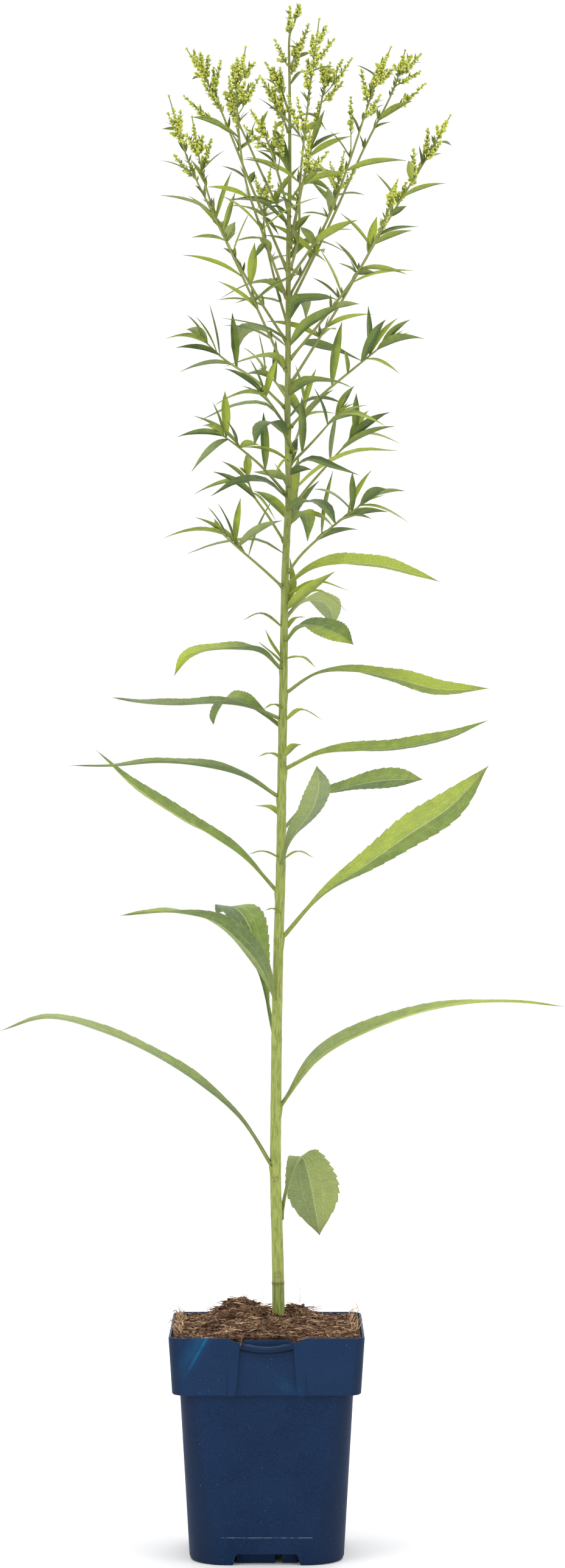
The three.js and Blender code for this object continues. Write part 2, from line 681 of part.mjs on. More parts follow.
// How wide a leaf is along its length, from 0 to 1, with its widest place given
function leafShape(s, widest) {
  const power = Math.log(0.5) / Math.log(widest);
  return Math.sin(Math.PI * Math.min(1, s) ** power) ** LEAF_FULLNESS;
}

// The frames of a blade along its middle line: centre, across, upward and half width
function bladeFrames(blade) {
  const { curve, side, width, roll, stations } = blade;
  const { tooth = 0, rootHalf = BLADE_ROOT_HALF, widest = SMALL_WIDEST } = blade;
  const frames = [];
  for (let k = 0; k <= stations; k += 1) {
    const s = k / stations;
    const along = tangentAt(curve, s);
    const flat = side.clone().addScaledVector(along, -side.dot(along)).normalize();
    const up = flat.clone().cross(along);
    const angle = mix(roll[0], roll[1], s) * Math.PI / 180;
    const across = flat.clone().multiplyScalar(Math.cos(angle)).addScaledVector(up, Math.sin(angle));
    const above = across.clone().cross(along);
    const cut = 1 + (k % 2 === 0 ? tooth : -tooth);
    const half = Math.max(rootHalf * (1 - s), width / 2 * leafShape(s, widest) * cut);
    frames.push({ centre: curve.getPoint(s), across, above, half, depth: s === 0 ? ROOT_THINNING : 1 });
  }
  return frames;
}

// A thin blade with a keel below its middle line, pointed at its tip
function bladeSolid(frames, thickness, fold, grooved) {
  const rings = frames.slice(0, -1).map(({ centre, across, above, half, depth }) => {
    const lift = half * fold;
    const left = centre.clone().addScaledVector(across, -half).addScaledVector(above, lift);
    const right = centre.clone().addScaledVector(across, half).addScaledVector(above, lift);
    const keel = centre.clone().addScaledVector(above, -thickness / 2 * depth);
    const groove = centre.clone().addScaledVector(above, thickness / 2 * depth);
    return grooved ? [right, keel, left, groove] : [right, keel, left];
  });
  const sides = rings[0].length;
  const tip = frames[frames.length - 1].centre;
  const positions = [...rings.flat(), tip].flatMap((p) => [p.x, p.y, p.z]);
  const indices = [];
  for (let r = 0; r + 1 < rings.length; r += 1) {
    for (let i = 0; i < sides; i += 1) {
      const a = r * sides + i;
      const b = r * sides + (i + 1) % sides;
      const mirrored = i >= sides / 2;
      if (mirrored) {
        indices.push(a, b, a + sides, b, b + sides, a + sides);
      } else {
        indices.push(a, b, b + sides, a, b + sides, a + sides);
      }
    }
  }
  const last = (rings.length - 1) * sides;
  for (let i = 0; i < sides; i += 1) {
    indices.push(last + i, last + (i + 1) % sides, rings.length * sides);
  }
  for (let i = 1; i + 1 < sides; i += 1) {
    indices.push(0, i + 1, i);
  }
  const geometry = new THREE.BufferGeometry();
  geometry.setAttribute('position', new THREE.Float32BufferAttribute(positions, 3));
  geometry.setIndex(indices);
  return toSolid(geometry);
}

// Points all over a blade, leaving out its first millimetres, where it grows from its stem
function bladeProbes({ curve, side, width, roll, widest }, skip) {
  const length = curve.getLength();
  const stations = Math.max(3, Math.ceil(length / PROBE_STEP));
  const points = [];
  const frames = bladeFrames({ curve, side, width, roll, widest, stations });
  for (const [k, { centre, across, half }] of frames.entries()) {
    if (k / stations * length < skip) {
      continue;
    }
    const lanes = Math.ceil(half / PROBE_STEP);
    for (let lane = -lanes; lane <= lanes; lane += 1) {
      points.push(centre.clone().addScaledVector(across, half * lane / Math.max(1, lanes)));
    }
  }
  return points;
}

// Level direction across a blade that runs from one point to another
function levelSide(from, to) {
  const heading = to.clone().sub(from).setZ(0);
  return heading.lengthSq() > 4 ? heading.normalize().cross(Z_AXIS) : vec(-1, 0, 0);
}

const room = new Room();

function stemProbes(curve, radiusAt, skip) {
  const length = curve.getLength();
  const steps = Math.ceil(length / PROBE_STEP);
  const points = [];
  for (let k = 0; k <= steps; k += 1) {
    if (k / steps * length < skip) {
      continue;
    }
    const centre = curve.getPoint(k / steps);
    const radius = radiusAt(centre, k / steps);
    points.push(centre);
    if (radius > THICK_STEM) {
      for (let i = 0; i < 6; i += 1) {
        const angle = i / 3 * Math.PI;
        points.push(vec(centre.x + radius * Math.cos(angle), centre.y + radius * Math.sin(angle), centre.z));
      }
    }
  }
  return points;
}

// Tries a piece at its own depth and then nearer and farther, until it is clear of the others
function settle(owner, kin, make, shifts) {
  for (const shift of shifts) {
    const piece = make(shift);
    if (!room.rival(owner, piece.probes, kin)) {
      room.add(owner, piece.probes);
      return piece;
    }
  }
  return null;
}

// A four-sided twig whose last rows stand out in pointed buds, by turns on its two pairs of sides
function buddingBar(curve, length, radiusAt, plainSteps) {
  const from = Math.max(LEAST_STALK, 1 - BUD_ROWS * BUD_ROW_HEIGHT / length);
  const places = [];
  for (let k = 0; k <= plainSteps; k += 1) {
    const t = from * k / (plainSteps + 0.6);
    places.push([t, () => radiusAt(t)]);
  }
  for (let row = 0; row <= BUD_ROWS; row += 1) {
    const swell = Math.sin(Math.PI * mix(SWELL_FROM, SWELL_TO, row / BUD_ROWS));
    const radius = (i) => ((i + row) % 2 === 0 ? BUD_OUT : BUD_IN) * swell;
    places.push([mix(from, 1, row / BUD_ROWS), radius]);
  }
  const rings = [];
  let side = vec(1, 0, 0);
  for (const [t, radius] of places) {
    const centre = curve.getPoint(t);
    const along = tangentAt(curve, t);
    side = side.clone().addScaledVector(along, -side.dot(along)).normalize();
    const other = along.clone().cross(side);
    rings.push(Array.from({ length: TWIG_SIDES }, (_, i) => {
      const angle = i / TWIG_SIDES * 2 * Math.PI;
      return centre.clone()
        .addScaledVector(side, radius(i) * Math.cos(angle))
        .addScaledVector(other, radius(i) * Math.sin(angle));
    }));
  }
  return loft(rings);
}

// A stalk that ends in a cluster of buds
function budSpray(start, tip) {
  const bend = start.clone().lerp(tip, 0.5).addScaledVector(Z_AXIS, -start.distanceTo(tip) * SPRAY_SAG);
  const curve = new THREE.QuadraticBezierCurve3(start, bend, tip);
  const length = start.distanceTo(tip);
  const solids = [toSolid(buddingBar(curve, length, () => STALK_RADIUS, 0))];
  return { solids, probes: clusterProbes(curve, length, SPRAY_PROBE_SKIP) };
}

function clusterProbes(curve, length, skip) {
  const probes = [];
  const steps = Math.ceil(length / PROBE_STEP);
  for (let k = 0; k <= steps; k += 1) {
    const centre = curve.getPoint(k / steps);
    const left = length * (1 - k / steps);
    if (length - left >= skip) {
      probes.push(centre);
    }
    if (left < BUD_ROWS * BUD_ROW_HEIGHT && length - left >= skip) {
      for (const out of [-CLUSTER_HALF, CLUSTER_HALF]) {
        probes.push(vec(centre.x + out, centre.y, centre.z), vec(centre.x, centre.y + out, centre.z));
      }
    }
  }
  return probes;
}

// One leaf on a shoot or a branch, arching from its root to its tip
function archedBlade(root, tip, width, arch, roll) {
  const length = root.distanceTo(tip);
  const middle = root.clone().lerp(tip, ARCH_AT).addScaledVector(Z_AXIS, length * arch);
  const curve = new THREE.QuadraticBezierCurve3(root, middle, tip);
  const stations = length < TINY_BLADE ? 2 : length < SHORT_BLADE ? 3 : 4;
  const spec = { curve, side: levelSide(root, tip), width, roll: [roll, roll], stations };
  return {
    probes: bladeProbes(spec, BLADE_PROBE_SKIP),
    solids: [bladeSolid(bladeFrames(spec), BLADE_THICKNESS, 0, false)],
  };
}

const DEPTH_SHIFTS = [0, -5, 5, -10, 10, -15, 15, -20, 20, -26, 26, -32, 32, -40, 40];
const TURN_SHIFTS = [0, -0.3, 0.3, -0.6, 0.6, -0.9, 0.9, -1.2, 1.2, -1.6, 1.6, -2, 2, -2.6, 2.6];

// The twig of a shoot or branch, from within the stem to its end
function twigOf({ name, path, depth }, radii) {
  const curve = grownCurve(path, depth, radii[0], radii[0]);
  const radiusAt = (centre, s) => mix(radii[0], radii[1], s);
  room.add(name, stemProbes(curve, radiusAt, TWIG_PROBE_SKIP));
  return curve;
}

// Where along its twig a leaf or spray that ends at a seen tip grows: the first place in reach
function rootOnTwig(curve, tip, reach) {
  let best = ROOT_FROM;
  let least = Infinity;
  for (let t = ROOT_FROM; t <= ROOT_TO; t += ROOT_STEP) {
    const miss = Math.abs(curve.getPoint(t).distanceTo(tip) - reach);
    if (miss < least) {
      least = miss;
      best = t;
    }
  }
  return best;
}

function growSeenLeaves(shoot, twig) {
  shoot.tips.forEach(([x, z], i) => {
    const aside = (i % 2 === 0 ? -1 : 1) * (ASIDE_FIRST + ASIDE_STEP * (i % 3));
    const piece = settle(`${shoot.name} leaf ${i}`, shoot.name, (shift) => {
      const first = alongSight(x, shoot.depth + aside + shift, z);
      const t = rootOnTwig(twig.curve, first, shoot.reach * (REACH_FIRST + REACH_STEP * (i % 4)));
      const root = twig.curve.getPoint(t);
      const length = root.distanceTo(first);
      const width = Math.min(SHOOT_LEAF_MOST, SHOOT_LEAF_LEAST + length * SHOOT_LEAF_SHARE);
      return archedBlade(root, first, width, SHOOT_ARCH, SHOOT_ROLLS[i % SHOOT_ROLLS.length]);
    }, DEPTH_SHIFTS);
    if (piece) {
      twig.solids.push(...piece.solids);
    }
  });
}

// Where a curve passes a height seen from the front
function seenAt(curve, height) {
  let low = 0;
  let high = 1;
  for (let i = 0; i < 16; i += 1) {
    const half = (low + high) / 2;
    const { y, z } = curve.getPoint(half);
    if (SIGHT_HEIGHT + (z - SIGHT_HEIGHT) * SIGHT_DISTANCE / (SIGHT_DISTANCE + y) < height) {
      low = half;
    } else {
      high = half;
    }
  }
  return (low + high) / 2;
}

function growSprays({ name, sprays }, twig) {
  sprays.forEach(([rootZ, x, z], i) => {
    const root = twig.curve.getPoint(seenAt(twig.curve, rootZ));
    const aside = (i % 2 === 0 ? 1 : -1) * SPRAY_OFFSET;
    const piece = settle(`${name} spray ${i}`, name, (shift) => {
      return budSpray(root, alongSight(x, root.y + aside + shift, z));
    }, DEPTH_SHIFTS);
    if (piece) {
      twig.solids.push(...piece.solids);
    }
  });
}

function growBranchLeaves(branch, twig) {
  branch.leaves.forEach(([rootZ, x, z, width], i) => {
    const root = twig.curve.getPoint(Math.max(LEAF_FROM, seenAt(twig.curve, rootZ)));
    const reach = Math.hypot(x - root.x, z - root.z);
    const aside = (i % 2 === 0 ? -1 : 1) * reach * mix(ASIDE_SHARE[0], ASIDE_SHARE[1], (i % 3) / 2);
    const piece = settle(`${branch.name} leaf ${i}`, branch.name, (shift) => {
      const tip = alongSight(x, root.y + aside + shift, z);
      return archedBlade(root, tip, width, BLADE_ARCH, BLADE_ROLLS[i % BLADE_ROLLS.length]);
    }, DEPTH_SHIFTS);
    if (piece) {
      twig.solids.push(...piece.solids);
    }
  });
}

// Leaves that turn away from the viewer, by a rule
function growFarLeaves(branch, twig, seed) {
  const draw = seededDraws(seed);
  const first = draw() * Math.PI;
  for (let i = 0; i < branch.farLeaves; i += 1) {
    const t = mix(LEAF_FROM, FAR_TO, branch.farLeaves > 1 ? i / (branch.farLeaves - 1) : 0.4);
    const root = twig.curve.getPoint(t);
    const along = tangentAt(twig.curve, t);
    const length = mix(branch.farLength, branch.farLength * FAR_END_SHARE, t) * mix(0.85, 1.15, draw());
    const rise = mix(0.3, 0.6, draw());
    const droop = mix(0.05, 0.3, draw());
    const piece = settle(`${branch.name} far leaf ${i}`, branch.name, (turn) => {
      const angle = Math.PI / 2 + Math.sin(first + i * GOLDEN_ANGLE) * FAR_SPREAD + turn;
      const tip = root.clone().addScaledVector(along, length * rise);
      tip.x += Math.cos(angle) * length * FAR_OUT;
      tip.y += Math.sin(angle) * length * FAR_OUT;
      tip.z -= length * droop;
      return archedBlade(root, tip, FAR_WIDTH + length * FAR_WIDTH_SHARE, BLADE_ARCH, 0);
    }, TURN_SHIFTS);
    if (piece) {
      twig.solids.push(...piece.solids);
    }
  }
}

// Pot outline: points of a square with round corners, half its width across, at one height
function squareRing(half, corner, z, perCorner = 3) {
  const points = [];
  for (let quarter = 0; quarter < 4; quarter += 1) {
    const middle = (quarter + 0.5) * Math.PI / 2;
    const cx = Math.sign(Math.cos(middle)) * (half - corner);
    const cy = Math.sign(Math.sin(middle)) * (half - corner);
    for (let i = 0; i <= perCorner; i += 1) {
      const angle = (quarter + i / perCorner) * Math.PI / 2;
      points.push(vec(cx + corner * Math.cos(angle), cy + corner * Math.sin(angle), z));
    }
  }
  return points;
}

function boxSolid(x0, x1, y0, y1, z0, z1) {
  const shape = new THREE.BoxGeometry(x1 - x0, y1 - y0, z1 - z0);
  shape.translate((x0 + x1) / 2, (y0 + y1) / 2, (z0 + z1) / 2);
  return toSolid(shape);
}

// A front outline in x and z, pushed along y
function frontPrism(shape, y0, y1, curveSegments = 4) {
  const prism = new THREE.ExtrudeGeometry(shape, { depth: y1 - y0, bevelEnabled: false, curveSegments });
  prism.rotateX(Math.PI / 2);
  prism.translate(0, y1, 0);
  return toSolid(prism);
}

function potCavity(gap) {
  const bodyCorner = BODY_TOP_CORNER - WALL;
  const upper = toSolid(loft([
    squareRing(BASE_HALF + 0.4 - WALL - gap, BASE_CORNER - WALL, FLOOR_Z + gap),
    squareRing(BODY_TOP_HALF - WALL - gap, bodyCorner, SKIRT_FOOT_Z + gap),
    squareRing(SKIRT_FOOT_HALF - WALL - gap, RIM_CORNER + 1 - WALL, SKIRT_FOOT_Z + WALL + 3 * gap),
    squareRing(RIM_HALF - WALL - gap, RIM_CORNER - WALL, POT_HEIGHT + 1),
  ]));
  const wells = [];
  for (const x of [-1, 1]) {
    for (const y of [-1, 1]) {
      const well = toSolid(loft([
        squareRing(7.6 - gap, 5, WALL + gap + 0.4, 1),
        squareRing(8.2 - gap, 5, FLOOR_Z + 1, 1),
      ]));
      wells.push(well.translate([x * WELL_OFFSET, y * WELL_OFFSET, 0]));
    }
  }
  return joined([upper, ...wells]);
}

function makePot() {
  const outside = toSolid(loft([
    squareRing(BASE_HALF - 1.4, BASE_CORNER - 1, 0),
    squareRing(BASE_HALF, BASE_CORNER, 2.2),
    squareRing(BODY_TOP_HALF, BODY_TOP_CORNER, SKIRT_FOOT_Z),
    squareRing(SKIRT_FOOT_HALF, RIM_CORNER + 1, SKIRT_FOOT_Z + 0.2),
    squareRing(RIM_HALF, RIM_CORNER, POT_HEIGHT),
  ]));
  let pot = outside.subtract(potCavity(0));

  const panelBlock = boxSolid(-BLOCK_HALF, BLOCK_HALF, -RIM_HALF, PANEL_BACK_Y, SKIRT_FOOT_Z - 1, DIP_Z);
  pot = pot.add(panelBlock.intersect(outside));

  const turned = SKIRT_FOOT_Z + 2 * PANEL_ROUND;
  const low = SKIRT_FOOT_Z - 1;
  const recess = new THREE.Shape();
  recess.moveTo(-PANEL_HALF, PANEL_TOP_Z);
  recess.lineTo(-PANEL_FOOT_HALF, turned);
  recess.quadraticCurveTo(-PANEL_FOOT_HALF, SKIRT_FOOT_Z, -PANEL_FOOT_HALF - PANEL_ROUND, low);
  recess.lineTo(PANEL_FOOT_HALF + PANEL_ROUND, low);
  recess.quadraticCurveTo(PANEL_FOOT_HALF, SKIRT_FOOT_Z, PANEL_FOOT_HALF, turned);
  recess.lineTo(PANEL_HALF, PANEL_TOP_Z);
  const lean = Math.atan((RIM_HALF - SKIRT_FOOT_HALF) / (POT_HEIGHT - SKIRT_FOOT_Z)) * 180 / Math.PI;
  const recessCut = frontPrism(recess, -RIM_HALF - 8, -SKIRT_FOOT_HALF + PANEL_DEPTH)
    .translate([0, SKIRT_FOOT_HALF, -SKIRT_FOOT_Z])
    .rotate([lean, 0, 0])
    .translate([0, -SKIRT_FOOT_HALF, SKIRT_FOOT_Z]);
  pot = pot.subtract(recessCut);

  const dip = new THREE.Shape();
  dip.moveTo(-DIP_HALF - DIP_SPREAD, POT_HEIGHT + 0.5);
  dip.bezierCurveTo(-DIP_HALF - 3, POT_HEIGHT, -DIP_HALF - 2, DIP_Z, -DIP_HALF, DIP_Z);
  dip.lineTo(DIP_HALF, DIP_Z);
  dip.bezierCurveTo(DIP_HALF + 2, DIP_Z, DIP_HALF + 3, POT_HEIGHT, DIP_HALF + DIP_SPREAD, POT_HEIGHT + 0.5);
  pot = pot.subtract(frontPrism(dip, -RIM_HALF - 3, -RIM_HALF + 9));

  const shelf = new THREE.Shape();
  const shelfBack = RIM_HALF - PANEL_DEPTH - LIP_WALL;
  shelf.moveTo(-PANEL_HALF, shelfBack);
  shelf.lineTo(-PANEL_HALF, RIM_HALF);
  shelf.quadraticCurveTo(0, RIM_HALF + 2 * LIP_BULGE, PANEL_HALF, RIM_HALF);
  shelf.lineTo(PANEL_HALF, shelfBack);
  const pocket = new THREE.Shape();
  const slotEnd = PANEL_HALF - SLOT_INSET;
  const slotRear = RIM_HALF - SLOT_BACK;
  pocket.moveTo(-slotEnd, slotRear);
  pocket.quadraticCurveTo(0, RIM_HALF + 2 * LIP_BULGE - 2 * LIP_WALL, slotEnd, slotRear);
  const lipZ = DIP_Z - LIP_DROP;
  const lip = layered(shelf, lipZ - LIP_HEIGHT, lipZ)
    .subtract(layered(pocket, lipZ - LIP_HEIGHT + LIP_FLOOR, lipZ + 1));
  const ribFrom = -RIM_HALF - LIP_BULGE + LIP_FLOOR;
  const ribFoot = lipZ - LIP_HEIGHT + LIP_FLOOR / 2;
  const rib = boxSolid(-RIB_HALF, RIB_HALF, ribFrom, -slotRear + 1, ribFoot, lipZ - LIP_DROP);
  pot = pot.add(lip).add(rib);

  const notch = new THREE.Shape();
  notch.moveTo(-NOTCH_HALF - NOTCH_FLARE * 0.5, -1);
  notch.lineTo(NOTCH_HALF + NOTCH_FLARE * 0.5, -1);
  notch.lineTo(NOTCH_HALF - NOTCH_FLARE, NOTCH_HEIGHT);
  notch.lineTo(-NOTCH_HALF + NOTCH_FLARE, NOTCH_HEIGHT);
  const channel = frontPrism(notch, -RIM_HALF, RIM_HALF);
  const channels = channel.add(channel.rotate([0, 0, 90]));
  const foot = CENTRE_FOOT_HALF;
  pot = pot.subtract(channels.subtract(boxSolid(-foot, foot, -foot, foot, -2, POT_HEIGHT)));

  for (let i = 0; i < 4; i += 1) {
    const angle = i * Math.PI / 2;
    const drain = new THREE.CylinderGeometry(DRAIN_RADIUS, DRAIN_RADIUS, 8, 8);
    drain.rotateX(Math.PI / 2);
    drain.translate(DRAIN_OFFSET * Math.cos(angle), DRAIN_OFFSET * Math.sin(angle), FLOOR_Z);
    pot = pot.subtract(toSolid(drain));
  }
  return pot;
}

// A plan outline drawn in x and -y, raised between two heights
function layered(shape, z0, z1) {
  const slab = new THREE.ExtrudeGeometry(shape, { depth: z1 - z0, bevelEnabled: false, curveSegments: 7 });
  slab.scale(1, -1, 1);
  slab.translate(0, 0, z0);
  const flipped = slab.getAttribute('position').array;
  for (let i = 0; i < flipped.length; i += 9) {
    for (let c = 0; c < 3; c += 1) {
      [flipped[i + c], flipped[i + 3 + c]] = [flipped[i + 3 + c], flipped[i + c]];
    }
  }
  return toSolid(slab);
}

function peatHeight(x, y, draw) {
  let z = PEAT_Z;
  for (const [mx, my, height, spread] of MOUNDS) {
    z += height * Math.exp(-((x - mx) ** 2 + (y - my) ** 2) / (2 * spread * spread));
  }
  return z + (draw() - 0.5) * 2 * PEAT_ROUGHNESS;
}

function makePeat() {
  const draw = seededDraws(7);
  const hole = stemCurve.getPoint(0).x;
  const rings = [];
  const circle = (radius, z) => Array.from({ length: PEAT_SIDES }, (_, i) => {
    const angle = i / PEAT_SIDES * 2 * Math.PI;
    return vec(hole + radius * Math.cos(angle), radius * Math.sin(angle), z);
  });
  const rimHalf = RIM_HALF - WALL - PEAT_GAP - 0.05;
  const rimPoint = (i) => {
    const angle = i / PEAT_SIDES * 2 * Math.PI;
    const reach = rimHalf / Math.max(Math.abs(Math.cos(angle)), Math.abs(Math.sin(angle)));
    return vec(reach * Math.cos(angle), reach * Math.sin(angle), 0);
  };
  const holeRadius = STEM_RADII[0][1] + 0.3;
  for (const share of PEAT_RINGS) {
    rings.push(Array.from({ length: PEAT_SIDES }, (_, i) => {
      const rim = rimPoint(i);
      const x = mix(hole, rim.x, share);
      const y = mix(0, rim.y, share);
      return vec(x, y, peatHeight(x, y, draw));
    }));
  }
  rings.push(Array.from({ length: PEAT_SIDES }, (_, i) => {
    const rim = rimPoint(i);
    return rim.setZ(Math.min(POT_HEIGHT - 0.6, peatHeight(rim.x, rim.y, draw) - 1));
  }));
  const lid = [circle(holeRadius * 0.5, PEAT_Z + 4), ...rings];
  const bottom = rings[rings.length - 1].map((p) => vec(p.x, p.y, -5));
  const mound = toSolid(loft([bottom, ...lid.reverse()]));
  let peat = mound.intersect(potCavity(PEAT_GAP));
  const slotHalf = BLOCK_HALF + PEAT_GAP;
  const slotBack = PANEL_BACK_Y + PEAT_GAP;
  const slotFoot = SKIRT_FOOT_Z - 1 - 2 * PEAT_GAP;
  peat = peat.subtract(boxSolid(-slotHalf, slotHalf, -RIM_HALF - 1, slotBack, slotFoot, POT_HEIGHT + 30));
  const stemHole = bar(stemCurve, () => STEM_RADII[0][1] + STEM_GAP, 4, STEM_SIDES, 0, 0.12);
  return peat.subtract(toSolid(stemHole));
}

const MATERIALS = {
  pot: new THREE.MeshStandardMaterial({ color: 0x1d3153, roughness: 0.6, metalness: 0 }),
  peat: new THREE.MeshStandardMaterial({ color: 0x6b4a2f, roughness: 0.95, metalness: 0 }),
  stem: new THREE.MeshStandardMaterial({ color: 0x9cae48, roughness: 0.6, metalness: 0 }),
  leaf: new THREE.MeshStandardMaterial({ color: 0x5d7d36, roughness: 0.65, metalness: 0 }),
  flower: new THREE.MeshStandardMaterial({ color: 0x9fb04a, roughness: 0.7, metalness: 0 }),
};

const goldenrod = new THREE.Group();

function addMesh(name, solid, material) {
  const mesh = new THREE.Mesh(toGeometry(solid), MATERIALS[material].clone());
  mesh.name = name;
  goldenrod.add(mesh);
}

function stemLeaf(depth, width, roll, places) {
  const curve = seenCurve(places, depth);
  return { curve, side: levelSide(curve.getPoint(0), curve.getPoint(LEVEL_TO)), width, roll: [roll, roll] };
}

function largeLeaf(depth, width, widest, roll, places) {
  const curve = grownCurve(places, depth, LEAF_ROOT_HALF, LEAF_THICKNESS / 2 * ROOT_THINNING);
  return { curve, side: levelSide(curve.getPoint(0), curve.getPoint(LEVEL_TO)), width, widest, roll };
}

const stemRadiusAt = (centre) => stemRadius(centre.z);
room.add('main_stem', stemProbes(stemCurve, stemRadiusAt, 0));
const stemBar = toSolid(bar(stemCurve, stemRadiusAt, STEM_STEPS, STEM_SIDES));

const largeLeaves = LARGE_LEAVES.map(([name, depth, width, widest, roll0, roll1, places]) => {
  const spec = {
    ...largeLeaf(depth, width, widest, [roll0, roll1], places),
    stations: LEAF_STATIONS,
    tooth: TOOTH,
    rootHalf: LEAF_ROOT_HALF,
  };
  room.add(name, bladeProbes(spec, LEAF_PROBE_SKIP));
  return [name, bladeSolid(bladeFrames(spec), LEAF_THICKNESS, LEAF_FOLD, true)];
});

const shootTwigs = SHOOTS.map((shoot) => {
  const curve = twigOf(shoot, SHOOT_RADIUS);
  const radiusAt = (centre, s) => mix(SHOOT_RADIUS[0], SHOOT_RADIUS[1], s);
  return { curve, solids: [toSolid(bar(curve, radiusAt, SHOOT_STEPS, TWIG_SIDES))] };
});
const branchTwigs = BRANCHES.map((branch) => {
  const curve = twigOf(branch, BRANCH_RADIUS);
  const length = curve.getLength();
  room.add(`${branch.name} tip`, clusterProbes(curve, length, length - BUD_ROWS * BUD_ROW_HEIGHT));
  const radiusAt = (t) => mix(BRANCH_RADIUS[0], BRANCH_RADIUS[1], t);
  return { curve, solids: [toSolid(buddingBar(curve, length, radiusAt, BRANCH_STEPS))] };
});

const stemSolids = [stemBar];
for (const [i, [depth, width, roll, places]] of [...STEM_LEAVES, ...TUFTS].entries()) {
  const piece = settle(`main_stem leaf ${i}`, 'main_stem', (shift) => {
    const stations = places.length < 4 ? 2 : 3;
    const spec = { ...stemLeaf(depth + shift, width, roll, places), stations };
    const solid = bladeSolid(bladeFrames(spec), BLADE_THICKNESS, 0, false);
    return { probes: bladeProbes(spec, STEM_LEAF_PROBE_SKIP), solids: [solid] };
  }, DEPTH_SHIFTS);
  if (piece) {
    stemSolids.push(...piece.solids);
  }
}
const stemTop = stemCurve.getPoint(1);
const stemSpray = budSpray(stemCurve.getPoint(0.955), stemTop);
stemSolids.push(...stemSpray.solids);
room.add('main_stem', stemSpray.probes);
growSprays({ name: 'main_stem', sprays: STEM_SPRAYS }, { curve: stemCurve, solids: stemSolids });

BRANCHES.forEach((branch, i) => growSprays(branch, branchTwigs[i]));
SHOOTS.forEach((shoot, i) => growSeenLeaves(shoot, shootTwigs[i]));
BRANCHES.forEach((branch, i) => growBranchLeaves(branch, branchTwigs[i]));
BRANCHES.forEach((branch, i) => growFarLeaves(branch, branchTwigs[i], 11 + i));

addMesh('pot', makePot(), 'pot');
addMesh('peat', makePeat(), 'peat');
addMesh('main_stem', joined(stemSolids), 'stem');
largeLeaves.forEach(([name, solid]) => addMesh(name, solid, 'leaf'));
SHOOTS.forEach(({ name }, i) => addMesh(name, joined(shootTwigs[i].solids), 'leaf'));
BRANCHES.forEach(({ name }, i) => addMesh(name, joined(branchTwigs[i].solids), 'flower'));

export default goldenrod;
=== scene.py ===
"""Looks for a potted goldenrod: one tall budding stem in a square nursery pot filled with peat.

The solids of the frame give every place. This script grows the same plan of stem, leaves, shoots
and flowering branches, in millimetres and by the same rules, and dresses it with finer pieces.
"""

from __future__ import annotations

import logging
import math
from abc import ABC, abstractmethod
from dataclasses import dataclass, field
from enum import Enum
from typing import Callable, Sequence

import bpy
import numpy as np
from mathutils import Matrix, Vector, noise

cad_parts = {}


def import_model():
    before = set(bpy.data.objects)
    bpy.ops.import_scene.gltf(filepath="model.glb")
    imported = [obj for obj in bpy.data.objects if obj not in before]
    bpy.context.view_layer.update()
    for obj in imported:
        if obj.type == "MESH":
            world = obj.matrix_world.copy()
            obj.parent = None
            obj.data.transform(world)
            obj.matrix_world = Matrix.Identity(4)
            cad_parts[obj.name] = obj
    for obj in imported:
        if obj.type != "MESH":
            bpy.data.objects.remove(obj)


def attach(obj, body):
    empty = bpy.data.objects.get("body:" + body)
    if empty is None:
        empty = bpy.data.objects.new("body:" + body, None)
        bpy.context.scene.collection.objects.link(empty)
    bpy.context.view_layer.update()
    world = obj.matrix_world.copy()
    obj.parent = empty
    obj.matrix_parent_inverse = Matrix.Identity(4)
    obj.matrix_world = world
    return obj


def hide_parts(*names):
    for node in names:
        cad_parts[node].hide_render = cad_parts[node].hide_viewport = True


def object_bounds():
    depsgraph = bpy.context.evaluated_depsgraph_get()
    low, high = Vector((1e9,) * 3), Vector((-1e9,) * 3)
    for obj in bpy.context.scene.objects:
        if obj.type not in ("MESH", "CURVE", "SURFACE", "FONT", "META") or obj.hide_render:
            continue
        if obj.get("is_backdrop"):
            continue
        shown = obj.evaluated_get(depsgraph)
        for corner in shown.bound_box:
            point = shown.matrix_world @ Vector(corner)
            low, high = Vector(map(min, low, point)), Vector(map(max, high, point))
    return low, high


log = logging.getLogger("goldenrod")

Array = np.ndarray
Rows = Sequence[Sequence[float]]
Pair = tuple[float, float]
Colour = tuple[float, float, float]
Place = tuple[float, float, float]
Draw = Callable[[], float]
Piece = bpy.types.Object
Socket = bpy.types.NodeSocket
Material = bpy.types.Material

MM = 0.001
BODY = "root"

# Sight line: places are given as they are seen from the front, in the plane of the stem
SIGHT_DISTANCE = 2200.0
SIGHT_HEIGHT = 438.4
SIGHT_SIDE = 8.9
LENS = 88.29

# Main stem: x and z of its middle line, and its radius at some heights
STEM_PATH = [
    [7.2, 100], [6.1, 170], [4.9, 214], [5.2, 259], [5.7, 304], [6.7, 349], [8, 393.5], [8.5, 438],
    [9.2, 483], [10.3, 553], [11.7, 587], [12.6, 606], [11.8, 643], [12.1, 692], [12.3, 748],
    [13, 782], [13, 835], [12.7, 864], [15.4, 873], [18.6, 884],
]
STEM_RADII = [[100, 3.6], [215, 3.05], [400, 2.6], [560, 2], [690, 1.5], [785, 1], [884, 0.5]]
STEM_SIDES = 7
STEM_GAP = 0.3

